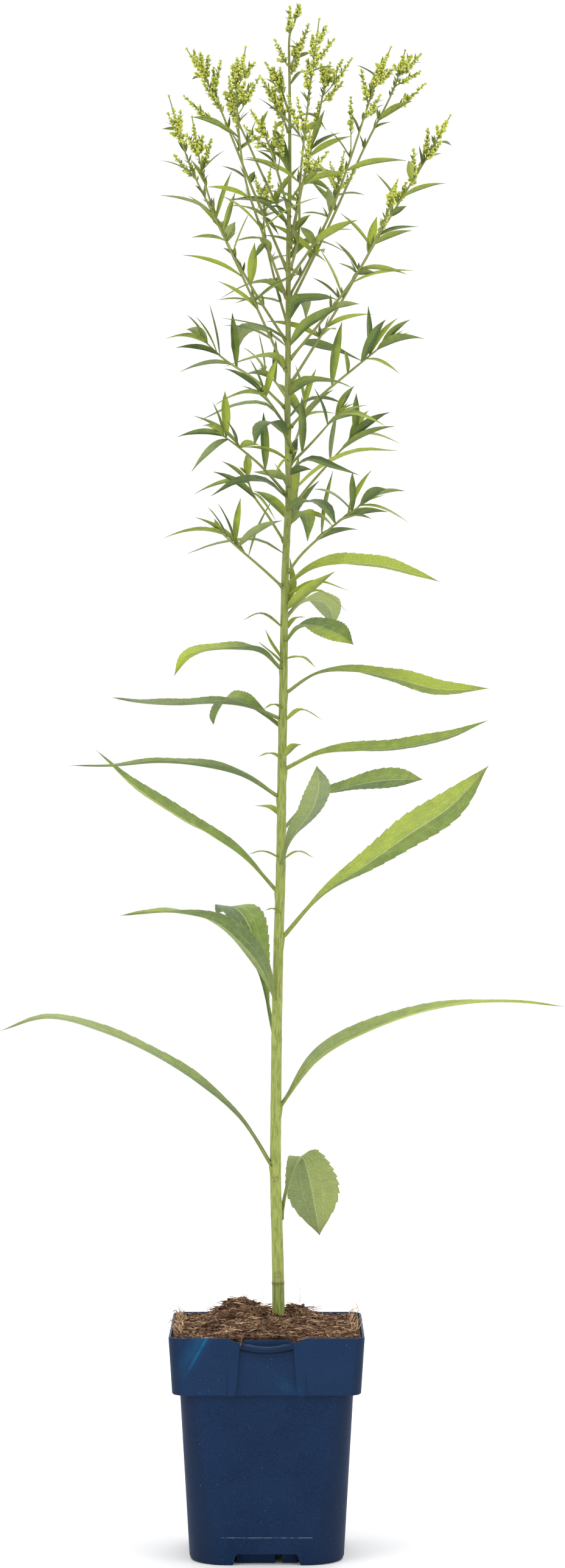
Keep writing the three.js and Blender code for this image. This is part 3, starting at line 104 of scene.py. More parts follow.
# Leaves and twigs, as in the solids
LEAF_THICKNESS = 1.5
LEAF_ROOT_HALF = 1.3
BLADE_ROOT_HALF = 0.42
ROOT_THINNING = 0.5
GOLDEN_ANGLE = math.radians(137.5)
SPRAY_OFFSET = 6.0
SPRAY_SAG = 0.1
BUD_LENGTH = 13.8
TOP_SPRAY_FROM = 0.955
TUFT_TONE = "b"
BRANCH_RADIUS = (0.95, 0.55)
SHOOT_RADIUS = (1.0, 0.65)
BLADE_ARCH = 0.15
ARCH_AT = 0.45
LEAF_FROM = 0.14
ASIDE_SHARE = (0.2, 0.45)
ASIDE_FIRST = 6.0
ASIDE_STEP = 5.0
REACH_FIRST = 0.62
REACH_STEP = 0.13
SHOOT_LEAF_LEAST = 2.2
SHOOT_LEAF_SHARE = 0.1
SHOOT_LEAF_MOST = 6.5
SHOOT_ARCH = 0.2
SHOOT_ROLLS = (35, -20, 50)
BLADE_ROLLS = (38, -28, 52, 18)
LEAF_FULLNESS = 0.85
SMALL_WIDEST = 0.42
ROOT_FROM = 0.2
ROOT_TO = 0.96
ROOT_STEP = 0.04
FAR_SEED = 11
FAR_SPREAD = 1.3
FAR_TO = 0.82
FAR_LONE = 0.4
FAR_END_SHARE = 0.45
FAR_OUT = 0.8
FAR_WIDTH = 2.4
FAR_WIDTH_SHARE = 0.11

# Room kept between neighbours, and the first millimetres of a piece that may touch its stem
CLEAR = 2.25
PROBE_STEP = 2.2
THICK_STEM = 1.6
CLUSTER_HALF = 1.7
START_STEP = 0.002
LEVEL_TO = 0.7
LEAF_PROBE_SKIP = 10.0
TWIG_PROBE_SKIP = 5.0
STEM_LEAF_PROBE_SKIP = 4.0
SPRAY_PROBE_SKIP = 5.0
BLADE_PROBE_SKIP = 3.0
DEPTH_SHIFTS = (0, -5, 5, -10, 10, -15, 15, -20, 20, -26, 26, -32, 32, -40, 40)
TURN_SHIFTS = (0, -0.3, 0.3, -0.6, 0.6, -0.9, 0.9, -1.2, 1.2, -1.6, 1.6, -2, 2, -2.6, 2.6)

Z_AXIS = np.array([0.0, 0.0, 1.0])


class Tone(Enum):
    """Greens of a blade: shade from 0, dark, to 1, bright, partly painted light (bright for backlit, dark for
    shaded leaves), and how grey its face is.
    """

    DARK = (0.12, 0.1)
    MID = (0.45, 0.05)
    BRIGHT = (0.9, 0.0)
    GREY = (0.54, 0.55)
    DUSK = (0.1, 0.32)


TONES = {"d": Tone.DARK, "m": Tone.MID, "b": Tone.BRIGHT, "g": Tone.GREY, "k": Tone.DUSK}


@dataclass(frozen=True)
class LargeLeaf:
    """A large leaf: depth of its tip, width, widest place, rolls, tones and middle line."""

    name: str
    depth: float
    width: float
    widest: float
    rolls: Pair
    tones: str
    path: Rows


@dataclass(frozen=True)
class Shoot:
    """A leafy shoot without buds: depth and reach at its end, middle line and the tips of its leaves."""

    name: str
    depth: float
    reach: float
    path: Rows
    tips: Rows


@dataclass(frozen=True)
class Branch:
    """A flowering branch: its end's depth, far leaves and their length, tones of the seen leaves,
    middle line, sprays by root height and tip, and seen leaves by root height, tip and width.
    """

    name: str
    depth: float
    far_leaves: int
    far_length: float
    tones: str
    path: Rows
    sprays: Rows
    leaves: Rows


LARGE_LEAVES = [
    LargeLeaf("leaf_01", 40, 31, 0.74, (0, 33), "gg",
        [[8, 188], [11, 205], [15, 218], [20, 225], [24, 214], [27, 199], [30, 180]]),
    LargeLeaf("leaf_02", -38, 15, 0.6, (26, 12), "kg",
        [[6, 214], [-14, 246], [-38, 267], [-65, 284], [-94, 297], [-125, 305], [-153, 297]]),
    LargeLeaf("leaf_03", 44, 16, 0.5, (-40, 20), "gb",
        [[8, 254], [28, 281], [55, 296], [84, 307], [113, 313], [142, 314], [170, 311]]),
    LargeLeaf("leaf_04", 112, 24, 0.74, (0, 0), "dd",
        [[5, 290], [1, 309], [-2, 328], [-6, 344], [-12, 360], [-20, 368], [-30, 364]]),
    LargeLeaf("leaf_05", -66, 18, 0.48, (-35, 22), "km",
        [[7, 309], [-2, 331], [-14, 347], [-30, 360], [-50, 365], [-67, 365], [-84, 363]]),
    LargeLeaf("leaf_06", -30, 21, 0.68, (50, 62), "mm",
        [[8, 349], [31, 375], [56, 392], [80, 409], [105, 426], [127, 449]]),
    LargeLeaf("leaf_07", 34, 16, 0.6, (-30, -36), "mm",
        [[8, 374], [-11, 395], [-31, 409], [-53, 422], [-76, 438], [-98, 458]]),
    LargeLeaf("leaf_08", -118, 15, 0.66, (0, 0), "kg",
        [[8, 391], [12, 404], [18, 413], [26, 424], [30, 437], [29, 449]]),
    LargeLeaf("leaf_09", 84, 16, 0.7, (30, 60), "km",
        [[9, 412], [25, 429], [46, 437], [69, 441], [89, 441]]),
    LargeLeaf("leaf_10", -22, 13, 0.5, (14, 6), "km",
        [[8, 430], [-13, 443], [-37, 449], [-62, 451], [-88, 449], [-113, 449]]),
    LargeLeaf("leaf_11", 16, 15, 0.6, (24, 30), "mm",
        [[9, 446], [30, 456], [54, 458], [79, 460], [104, 466], [127, 475]]),
    LargeLeaf("leaf_12", -34, 14, 0.6, (12, 16), "kk",
        [[9, 475], [-11, 483], [-30, 485], [-50, 484], [-70, 485], [-89, 488]]),
    LargeLeaf("leaf_13", 62, 15, 0.6, (20, 30), "dm",
        [[9, 470], [-4, 480], [-15, 486], [-23, 487], [-29, 480], [-31, 472]]),
    LargeLeaf("leaf_14", 34, 15, 0.68, (6, 48), "kb",
        [[9, 489], [29, 502], [52, 503], [74, 499], [98, 493], [127, 493]]),
    LargeLeaf("leaf_15", -50, 14, 0.55, (10, 16), "kb",
        [[9, 503], [-3, 514], [-18, 516], [-34, 515], [-46, 511], [-53, 500]]),
    LargeLeaf("leaf_16", -74, 15, 0.6, (-20, -44), "km",
        [[10, 519], [18, 528], [27, 529], [36, 526], [43, 523], [50, 518]]),
    LargeLeaf("leaf_17", 70, 15, 0.6, (10, 30), "gg",
        [[10, 532], [19, 542], [28, 544], [34, 541], [37, 536], [38, 528]]),
    LargeLeaf("leaf_18", -18, 15, 0.55, (20, 32), "mb",
        [[10, 551], [26, 562], [45, 565], [64, 564], [82, 560], [99, 554]]),
]

# Small leaves on the main stem: depth of the tip, width, roll, and the middle line
STEM_LEAVES = [
    [-16, 8, 8, [[10, 570], [-6, 578], [-28, 576], [-46, 570]]],
    [-52, 13, 0, [[11, 594], [22, 600], [33, 597], [40, 586]]],
    [44, 12, 0, [[11, 585], [19, 594], [23, 590], [23, 577]]],
    [-26, 9, 30, [[12, 601], [0, 611], [-16, 612], [-32, 603]]],
    [30, 7, 30, [[12, 612], [2, 616], [-8, 617]]],
    [22, 9, 18, [[12, 603], [30, 619], [52, 629], [75, 629]]],
    [-30, 8, -25, [[12, 617], [24, 624], [38, 620], [53, 615]]],
    [-12, 9, 14, [[12, 641], [0, 655], [-18, 655], [-39, 646]]],
    [-58, 11, 0, [[12, 637], [4, 645], [-4, 642], [-7, 632]]],
    [20, 8, 10, [[12, 647], [22, 657], [33, 659], [44, 656]]],
    [-52, 10, 16, [[12, 660], [21, 668], [32, 669], [42, 668], [49, 665]]],
    [26, 8, 25, [[11, 674], [6, 682], [-3, 683], [-13, 681], [-25, 677]]],
    [34, 8, 25, [[12, 681], [21, 690], [27, 690], [35, 688], [42, 686], [55, 680]]],
    [48, 10, -20, [[12, 688], [-2, 698], [-13, 698], [-18, 690], [-17, 675]]],
    [-30, 5, 10, [[12, 692], [0, 699], [-13, 703], [-26, 705]]],
    [-24, 7, 30, [[13, 689], [20, 699], [28, 705], [37, 710], [41, 711]]],
    [-34, 10, 20, [[13, 704], [16, 714], [25, 716], [35, 717], [41, 715]]],
    [45, 8, 0, [[13, 706], [19, 716], [22, 713], [22, 704]]],
    [28, 7, 25, [[12, 717], [2, 725], [-12, 724], [-27, 716]]],
    [36, 7, -25, [[12, 738], [22, 748], [34, 748], [46, 742]]],
    [22, 5, 25, [[12, 758], [1, 769], [-6, 772], [-15, 773], [-23, 773]]],
    [-18, 4, 0, [[12, 764], [4, 769], [-6, 765]]],
    [34, 6, 25, [[13, 772], [22, 782], [30, 782], [38, 776]]],
    [-14, 6, 0, [[13, 786], [9, 796], [2, 800], [-5, 801]]],
    [-26, 7, 0, [[13, 792], [8, 803], [6, 809], [5, 813]]],
    [26, 5, 0, [[13, 812], [20, 821], [28, 820], [34, 812]]], [18, 4, 0, [[13, 838], [20, 846], [28, 844]]],
]
STEM_LEAF_TONES = "mdmdmbdmddmbdgmmdgmmddmmdmm"

# Young leaf curls in the axils of the lower stem
TUFTS = [
    [-8, 4, 0, [[9, 361], [4, 367], [-1, 366]]], [-12, 4, 0, [[9, 395], [-2, 400], [-11, 398]]],
    [-10, 4, 0, [[9, 395], [18, 400], [27, 396]]], [12, 5, 20, [[9, 419], [2, 425], [-7, 426]]],
    [-14, 5, 0, [[9, 452], [2, 456], [-5, 454]]], [-14, 5, 20, [[9, 453], [15, 460], [20, 461]]],
    [-16, 5, 10, [[10, 474], [20, 481], [32, 475]]], [-12, 4, 0, [[10, 480], [4, 484], [-2, 481]]],
    [-14, 5, 0, [[10, 510], [20, 511], [28, 505]]], [-20, 6, 30, [[9, 507], [2, 514], [-5, 520]]],
    [-22, 4, 0, [[9, 509], [3, 518], [-1, 527]]], [-10, 5, 0, [[10, 527], [-3, 536], [-14, 532]]],
    [12, 5, 0, [[10, 525], [16, 533], [22, 534]]], [-30, 7, 30, [[11, 538], [24, 550], [39, 560]]],
    [-24, 5, 20, [[11, 546], [29, 554], [47, 549]]], [-46, 5, 10, [[11, 541], [30, 549], [46, 537]]],
    [-20, 5, 0, [[11, 541], [15, 552], [13, 568]]], [-36, 4, 0, [[11, 540], [18, 550], [22, 560]]],
]

SHOOTS = [
    Shoot("shoot_left_1", -30, 36, [[10, 550], [-3, 562], [-17, 574], [-27, 583]], [
        [-34, 597], [-15, 602], [-28, 599], [-41, 591], [-59, 579], [-50, 573], [9, 589], [4, 602],
    ]),
    Shoot("shoot_left_2", 34, 34, [[11, 575], [1, 591], [-8, 604], [-12, 616]], [
        [-26, 623], [-11, 628], [-31, 617], [-42, 604], [5, 589], [4, 625],
    ]),
    Shoot("shoot_left_3", -34, 34, [[12, 603], [-2, 619], [-16, 631], [-27, 639]], [
        [-31, 657], [-24, 663], [-23, 646], [-42, 649], [-37, 643], [-51, 637], [-43, 617], [-2, 651],
        [-4, 632],
    ]),
    Shoot("shoot_left_4", -44, 32, [[12, 641], [5, 652], [-2, 662]], [
        [-10, 682], [6, 682], [-24, 676], [-14, 666], [-31, 654],
    ]),
    Shoot("shoot_left_5", 18, 34, [[12, 652], [-6, 669], [-24, 681], [-37, 693]], [
        [-46, 707], [-41, 706], [-33, 713], [-47, 698], [-58, 693], [-52, 688], [-50, 674], [-20, 708],
    ]),
    Shoot("shoot_left_6", 46, 30, [[12, 658], [5, 668], [-2, 675]], [
        [-5, 697], [-14, 688], [5, 693], [-14, 672],
    ]),
    Shoot("shoot_right_1", -34, 38, [[11, 558], [21, 571], [38, 586], [58, 601]], [
        [49, 617], [60, 618], [69, 607], [79, 606], [81, 588], [69, 594], [27, 607], [38, 618], [20, 593],
        [52, 584], [60, 590],
    ]),
    Shoot("shoot_right_2", 38, 36, [[12, 593], [24, 609], [40, 627], [53, 641]], [
        [51, 662], [58, 652], [70, 651], [73, 643], [76, 633], [70, 626], [40, 652],
    ]),
    Shoot("shoot_right_3", -30, 34, [[12, 620], [26, 634], [42, 652]], [
        [50, 666], [58, 655], [27, 665], [20, 660], [68, 643], [58, 649],
    ]),
    Shoot("shoot_right_4", -12, 38, [[12, 641], [28, 658], [52, 678], [72, 694]], [
        [82, 704], [75, 705], [68, 704], [90, 693], [76, 673], [58, 712], [63, 706], [43, 703], [45, 686],
    ]),
    Shoot("shoot_front", -52, 30, [[12, 608], [13, 618], [14, 627]], [
        [8, 642], [14, 635], [18, 636], [-13, 631], [4, 614], [26, 618],
    ]),
    Shoot("shoot_back_1", 64, 38, [[10, 560], [12, 580], [16, 600]], [
        [4, 622], [18, 626], [30, 612], [-8, 606], [34, 592],
    ]),
    Shoot("shoot_back_2", 66, 36, [[12, 624], [18, 640], [22, 657]], [
        [16, 678], [28, 676], [38, 664], [4, 668], [40, 650],
    ]),
]
SHOOT_TONES = "mbdmbdg"

BRANCHES = [
    Branch("flower_branch_left_1", -34, 2, 40, "bdbbgmgbgmdmmm",
        [[12, 672], [1, 696], [-15, 731], [-31, 765], [-45, 795], [-56, 832]], [
        [806, -56.5, 822], [810, -49.5, 823.5], [785, -53, 798],
    ], [
        [709, -28, 726, 5.5], [714, 21, 731, 4], [728, -48, 741, 4], [741, -9, 767, 3.5],
        [748, -19, 738, 5], [749, -43, 751, 4], [749, -18, 760, 6], [756, -45, 775, 5],
        [765, -61, 775, 4.5], [761, -20, 789, 3], [774, -41, 781, 4], [786, -61, 795, 3],
        [812, -47, 821, 3], [812, -60, 813, 3],
    ]),
    Branch("flower_branch_left_2", 30, 3, 38, "bdmbmdd",
        [[12, 690], [-9, 723], [-27, 757], [-37, 788], [-43, 820]], [
        [797, -46, 810], [798, -37, 809], [789, -32, 807],
    ], [
        [724, -7, 748, 5.5], [731, -19, 741, 4], [753, -18, 777, 3.5], [780, -44, 796, 4.5],
        [768, -37, 773, 3], [789, -24, 801, 3], [739, -25, 745, 4],
    ]),
    Branch("flower_branch_left_3", -44, 2, 36, "bbbdddmm",
        [[12, 714], [-3, 755], [-13, 788], [-17, 831], [-12, 860]], [
        [842, -17, 853.5], [832, -20, 849], [841, -7, 851], [821, -4, 843.5], [825, -9, 839],
        [830, -12.5, 840],
    ], [
        [756, -26, 775, 6], [755, 30, 774, 4.5], [773, -34, 780, 4.5], [785, -26, 792, 4],
        [748, -7, 739, 4], [800, -21, 812, 4], [808, -43, 820, 4], [816, -10, 823, 3],
    ]),
    Branch("flower_branch_left_4", 4, 2, 36, "ddmd",
        [[12, 731], [-8, 778], [-20, 808], [-31, 834], [-46, 859]], [
        [848, -42, 857.5], [845, -38, 856.5], [841, -33.5, 855], [834, -26.5, 852], [832, -30.5, 848],
        [825, -37, 841], [820, -31, 836], [811, -47.5, 832],
    ], [
        [782, -7, 789, 4], [800, 1, 810, 4], [813, -42, 820, 3], [757, 7, 752, 3.5],
    ]),
    Branch("flower_branch_left_5", 52, 2, 34, "mddm",
        [[13, 756], [2, 777], [-10, 803], [-19, 824], [-22, 843]], [
        [822, -20, 837.5], [820, -24.5, 834], [812, -23, 827],
    ], [
        [772, 19, 792, 3.5], [764, -22, 772, 4], [782, -6, 765, 3.5], [805, -6, 819, 3],
    ]),
    Branch("flower_branch_front_1", -58, 1, 32, "mmdm", [[13, 762], [8, 782], [0, 807], [-9, 824]], [
        [806, -4, 818], [800, -13, 815], [797, 5, 817], [788, 9.5, 816],
    ], [
        [793, -6, 801, 4], [798, -4, 804, 3], [809, -6, 819, 5], [814, 1, 824, 3],
    ]),
    Branch("flower_branch_front_2", -52, 1, 30, "mdm", [[13, 744], [17, 764], [22, 790], [25, 812]], [
        [799, 12, 832], [804, 17.5, 831], [787, 35, 800],
    ], [
        [748, 25, 764, 4], [765, 7, 775, 4], [782, 30, 789, 3.5],
    ]),
    Branch("flower_branch_top_1", 24, 1, 22, "bm", [[13, 822], [7, 837], [-1, 851]], [
        [839, 3, 848], [834, 7.5, 848],
    ], [
        [829, 3, 838, 3.5], [835, -1, 842, 3],
    ]),
    Branch("flower_branch_top_2", -26, 1, 22, "bm", [[13, 810], [5, 828], [-3, 842]], [
        [828, 3, 837], [822, 8, 833], [818, 5, 826],
    ], [
        [817, 4, 813, 4], [824, 1, 825, 3],
    ]),
    Branch("flower_branch_top_3", -18, 1, 20, "m", [[13, 848], [19, 860], [24, 873]], [
        [854, 19, 862],
    ], [
        [852, 26, 857, 3],
    ]),
    Branch("flower_branch_right_1", -30, 2, 34, "mbbdmm",
        [[12, 728], [18, 752], [19, 784], [24, 831], [30, 876]], [
        [852, 26, 866.5], [850, 38.5, 864.5], [842, 23, 852.5], [834, 22, 845], [861, 34, 872],
    ], [
        [748, 14, 757, 4], [782, -12, 797, 5.5], [781, 48, 788, 4], [806, -5, 831, 4.5],
        [810, 30, 818, 4.5], [828, 19, 835, 3],
    ]),
    Branch("flower_branch_right_2", 34, 1, 36, "bdmm",
        [[12, 743], [20, 780], [27, 810], [33, 838], [36, 851]], [
        [836, 43, 852.5], [832, 48.5, 853.5], [828, 43, 840], [836, 31, 850], [806, 29.5, 828.5],
    ], [
        [797, 48, 809, 4.5], [801, 42, 811, 4.5], [788, 37, 789, 3], [803, 33, 824, 3.5],
    ]),
    Branch("flower_branch_right_3", -24, 2, 38, "bgbdmmdd",
        [[12, 726], [33, 758], [47, 794], [60, 833], [71, 860]], [
        [842, 66.5, 853], [836, 64, 850], [838, 72, 847], [827, 54, 847], [830, 60, 840], [818, 65, 832.5],
        [797, 48, 831],
    ], [
        [746, 52, 761, 6], [765, 35, 780, 7], [776, 25, 797, 6], [788, 19, 782, 5], [789, 80, 795, 4.5],
        [796, 36, 812, 4], [811, 48, 822, 4], [818, 67, 827, 4],
    ]),
    Branch("flower_branch_right_4", 16, 2, 40, "bmbmdmm",
        [[12, 710], [35, 757], [55, 801], [72, 835], [79, 858]], [
        [846, 82.5, 855], [843, 88, 856], [838, 87.5, 846], [819, 90.5, 839],
    ], [
        [741, 1, 759, 5], [726, 34, 737, 3.5], [742, 29, 749, 3.5], [766, 25, 783, 5], [802, 53, 810, 4],
        [813, 71, 817, 3], [818, 83, 829, 4],
    ]),
    Branch("flower_branch_right_5", -56, 1, 38, "gmddmbmb",
        [[12, 680], [39, 713], [56, 738], [69, 765], [75, 784]], [
        [754, 69.5, 764.5],
    ], [
        [710, 53, 713, 5], [716, 26, 728, 4], [730, 62, 731, 4], [732, 39, 749, 4], [733, 80, 730, 4],
        [742, 63, 763, 5], [745, 42, 765, 3.5], [769, 74, 783, 4.5],
    ]),
    Branch("flower_branch_right_6", -8, 2, 42, "bbbbmddmmbdm",
        [[12, 665], [40, 710], [67, 757], [91, 796], [105, 821]], [
        [796, 92, 813], [784, 84, 801.5], [779, 88, 793.5], [795, 99.5, 806], [771, 79.5, 782],
    ], [
        [692, -1, 703, 5], [699, 61, 707, 5], [716, 30, 745, 6], [725, 84, 732, 5], [747, 83, 755, 4.5],
        [752, 87, 757, 5], [763, 80, 769, 4], [770, 62, 788, 4], [774, 102, 782, 3.5], [783, 81, 795, 4.5],
        [792, 87, 804, 4], [794, 100, 799, 3],
    ]),
    Branch("flower_branch_back_1", 74, 6, 38, "", [[12, 700], [4, 728], [-2, 760], [2, 792]], [
        [768, -7, 786], [766, 10, 784],
    ], []),
    Branch("flower_branch_back_2", 70, 6, 36, "", [[12, 716], [26, 742], [38, 772], [44, 800]], [
        [776, 36, 794], [776, 52, 792],
    ], []),
]
STEM_SPRAYS = [[848, 4.5, 864], [866, 13, 883], [844, 18, 853]]
FAR_TONES = "mdg"


class Curve(ABC):
    """A line through space, walked from 0 to 1."""

    @abstractmethod
    def points(self, at: Array) -> Array:
        """Gives the places at some shares of the way, one row for each."""

    def point(self, at: float) -> Array:
        """Gives the place at one share of the way."""
        return self.points(np.array([at]))[0]

    def length(self) -> float:
        """Measures the line on 200 short chords."""
        places = self.points(np.arange(201) / 200)
        return float(np.linalg.norm(np.diff(places, axis=0), axis=1).sum())

    def tangents(self, at: Array) -> Array:
        """Gives the directions of the line at some shares of the way.

        Args:
            at: shares of the way.

        Returns:
            One direction of length 1 in each row.
        """
        step = 0.01
        ahead = self.points(np.minimum(1, at + step)) - self.points(np.maximum(0, at - step))
        return ahead / np.linalg.norm(ahead, axis=1)[:, None]

    def level_side(self) -> Array:
        """Gives the level direction across a blade on this line."""
        return level_side(self.point(0), self.point(LEVEL_TO))


class Spline(Curve):
    """A smooth line through given places."""

    def __init__(self, places: Array) -> None:
        """Keeps the places, with one more beyond each end."""
        first = 2 * places[0] - places[1]
        last = 2 * places[-1] - places[-2]
        self.places = np.vstack([first, places, last])

    def points(self, at: Array) -> Array:
        """Blends the four places round each share of the way.

        Args:
            at: shares of the way.

        Returns:
            One point in each row.
        """
        spans = len(self.places) - 3
        walked = np.clip(at, 0, 1) * spans
        span = np.minimum(walked.astype(int), spans - 1)
        w = (walked - span)[:, None]
        p0, p1, p2, p3 = (self.places[span + k] for k in range(4))
        t0 = (p2 - p0) / 2
        t1 = (p3 - p1) / 2
        cubic = 2 * p1 - 2 * p2 + t0 + t1
        square = 3 * p2 - 3 * p1 - 2 * t0 - t1
        return p1 + t0 * w + square * w**2 + cubic * w**3


class Arc(Curve):
    """A line that bends evenly from a root over a middle place to a tip."""

    def __init__(self, root: Array, middle: Array, tip: Array) -> None:
        """Keeps the three places."""
        self.root = root
        self.middle = middle
        self.tip = tip

    def points(self, at: Array) -> Array:
        """Mixes the three places."""
        t = at[:, None]
        return (1 - t) ** 2 * self.root + 2 * (1 - t) * t * self.middle + t**2 * self.tip

    def chord(self) -> float:
        """Measures from root to tip."""
        return float(np.linalg.norm(self.tip - self.root))


class Tail(Curve):
    """The rest of a line, from a share of its way on."""

    def __init__(self, whole: Curve, start: float) -> None:
        """Keeps the whole line and where the rest begins."""
        self.whole = whole
        self.start = start

    def points(self, at: Array) -> Array:
        """Walks the rest of the line."""
        return self.whole.points(self.start + (1 - self.start) * at)

    def length(self) -> float:
        """Takes the rest's share of the whole length."""
        return self.whole.length() * (1 - self.start)


def mix(a: float, b: float, t: float) -> float:
    """Walks from a to b by the share t."""
    return a + (b - a) * t


def seeded_draws(seed: int) -> Draw:
    """Gives the same row of draws for the same seed.

    Args:
        seed: any whole number.

    Returns:
        A function that gives the next draw, from 0 to 1.
    """
    state = [seed]

    def draw() -> float:
        """Gives the next draw."""
        state[0] = (state[0] * 1664525 + 1013904223) % 4294967296
        return state[0] / 4294967296

    return draw


def along_sight(x: float, depth: float, z: float) -> Array:
    """Moves a place seen in the plane of the stem along the sight line to its depth.

    Args:
        x: where it is seen across.
        depth: how far behind the stem it lies.
        z: where it is seen in height.

    Returns:
        The place in millimetres.
    """
    scale = (SIGHT_DISTANCE + depth) / SIGHT_DISTANCE
    return np.array([x * scale, depth, SIGHT_HEIGHT + (z - SIGHT_HEIGHT) * scale])


def seen_curve(path: Rows, depth: float) -> Spline:
    """Makes a line through places seen from the front, whose depth grows evenly to the end.

    Args:
        path: x and z of each place.
        depth: depth of the last place.

    Returns:
        The smooth line.
    """
    last = len(path) - 1
    return Spline(np.array([along_sight(x, depth * i / last, z) for i, (x, z) in enumerate(path)]))


STEM_CURVE = seen_curve(STEM_PATH, 0)


def stem_middles(heights: Array) -> Array:
    """Gives the places on the stem's middle line at some heights.

    Args:
        heights: the heights in millimetres.

    Returns:
        One place for each height.
    """
    low = np.zeros(len(heights))
    high = np.ones(len(heights))
    for _ in range(20):
        half = (low + high) / 2
        below = STEM_CURVE.points(half)[:, 2] < heights
        low = np.where(below, half, low)
        high = np.where(below, high, half)
    return STEM_CURVE.points(low)


def stem_radii(heights: Array) -> Array:
    """Gives the stem's radius at some heights."""
    known = np.array(STEM_RADII, float)
    return np.interp(heights, known[:, 0], known[:, 1])


def stem_margins(points: Array) -> Array:
    """Measures how far points lie outside the many-sided skin of the stem.

    Args:
        points: places in millimetres, one in each row.

    Returns:
        One distance for each point.
    """
    half = math.pi / STEM_SIDES
    off = points - stem_middles(points[:, 2])
    angles = np.arctan2(off[:, 1], off[:, 0]) + 2 * math.pi
    skin = stem_radii(points[:, 2]) * math.cos(half) / np.cos(angles % (2 * half) - half)
    return np.hypot(off[:, 0], off[:, 1]) - skin


def level_side(root: Array, tip: Array) -> Array:
    """Gives the level direction across a blade that runs from a root to a tip.

    Args:
        root: where the line starts.
        tip: where it ends.

    Returns:
        The level direction of length 1.
    """
    heading = tip - root
    heading[2] = 0
    if heading @ heading <= 4:
        return np.array([-1.0, 0.0, 0.0])
    return np.cross(heading / np.linalg.norm(heading), Z_AXIS)


def unit(rows: Array) -> Array:
    """Scales each row to the length 1."""
    return rows / np.linalg.norm(rows, axis=-1, keepdims=True)


def square_to(rows: Array, along: Array) -> Array:
    """Takes out of each row its share along a direction and scales it to the length 1."""
    return unit(rows - along * (rows * along).sum(axis=-1, keepdims=True))


def grown_curve(path: Rows, depth: float, half_across: float, half_up: float) -> Tail:
    """Makes the line of a piece that grows from the stem, begun just outside the stem's skin.

    Args:
        path: x and z of each place, seen from the front.
        depth: depth of the last place.
        half_across: half the width of its root.
        half_up: half the thickness of its root.

    Returns:
        The line from the stem's skin on.
    """
    whole = seen_curve(path, depth)
    side = whole.level_side()
    starts = np.arange(0, 0.9, START_STEP)
    centres = whole.points(starts)
    along = whole.tangents(starts)
    across = square_to(np.broadcast_to(side, along.shape), along)
    up = np.cross(across, along)
    rim = [across * half_across, -across * half_across, up * half_up, -up * half_up]
    margins = np.min([stem_margins(centres + out) for out in rim], axis=0)
    return Tail(whole, starts[np.argmax(margins >= STEM_GAP)])


@dataclass
class Blade:
    """A leaf blade on its middle line."""

    curve: Curve
    side: Array
    width: float
    rolls: Pair = (0.0, 0.0)
    root_half: float = BLADE_ROOT_HALF
    widest: float = SMALL_WIDEST
    tone: Pair = Tone.MID.value
    tip_tone: Pair = Tone.MID.value

    def frames(self, at: Array) -> tuple[Array, Array, Array, Array]:
        """Gives the cross-sections of the blade.

        Args:
            at: shares of the way along the middle line.

        Returns:
            Centres, directions across, directions above, and half widths.
        """
        along = self.curve.tangents(at)
        flat = square_to(np.broadcast_to(self.side, along.shape), along)
        up = np.cross(flat, along)
        angles = np.radians(mix(self.rolls[0], self.rolls[1], at))[:, None]
        across = flat * np.cos(angles) + up * np.sin(angles)
        above = np.cross(across, along)
        power = math.log(0.5) / math.log(self.widest)
        shape = np.abs(np.sin(math.pi * np.clip(at, 0, 1) ** power)) ** LEAF_FULLNESS
        halves = np.maximum(self.root_half * (1 - at), self.width / 2 * shape)
        return self.curve.points(at), across, above, halves

    def probes(self, skip: float) -> Array:
        """Gives points all over the blade, leaving out its first millimetres.

        Args:
            skip: how much of the root is left out.

        Returns:
            One point in each row.
        """
        length = self.curve.length()
        stations = max(3, math.ceil(length / PROBE_STEP))
        at = np.arange(stations + 1) / stations
        plain = Blade(self.curve, self.side, self.width, self.rolls, widest=self.widest)
        centres, across, _, halves = plain.frames(at)
        points = []
        for k in range(stations + 1):
            if k / stations * length < skip:
                continue
            lanes = math.ceil(halves[k] / PROBE_STEP)
            for lane in range(-lanes, lanes + 1):
                points.append(centres[k] + across[k] * (halves[k] * lane / max(1, lanes)))
        return np.array(points)


def stem_probes(curve: Curve, radii: Callable[[Array, Array], Array], skip: float) -> Array:
    """Gives points on a stem or twig.

    Args:
        curve: its middle line.
        radii: its radius for places and shares of the way.
        skip: how much of its root is left out.

    Returns:
        One point in each row.
    """
    length = curve.length()
    steps = math.ceil(length / PROBE_STEP)
    at = np.arange(steps + 1) / steps
    at = at[at * length >= skip]
    centres = curve.points(at)
    points = [centres]
    thick = radii(centres, at) > THICK_STEM
    for i in range(6):
        out = np.array([math.cos(i / 3 * math.pi), math.sin(i / 3 * math.pi), 0])
        points.append(centres[thick] + radii(centres, at)[thick][:, None] * out)
    return np.vstack(points)


def cluster_probes(curve: Curve, length: float, skip: float) -> Array:
    """Gives points on a bud cluster at the end of a line.

    Args:
        curve: its middle line.
        length: the length of the line.
        skip: how much of its root is left out.

    Returns:
        One point in each row.
    """
    steps = math.ceil(length / PROBE_STEP)
    at = np.arange(steps + 1) / steps
    left = length * (1 - at)
    kept = length - left >= skip
    centres = curve.points(at)
    budding = centres[kept & (left < BUD_LENGTH)]
    points = [centres[kept]]
    for out in (-CLUSTER_HALF, CLUSTER_HALF):
        points += [budding + np.array([out, 0, 0]), budding + np.array([0, out, 0])]
    return np.vstack(points)


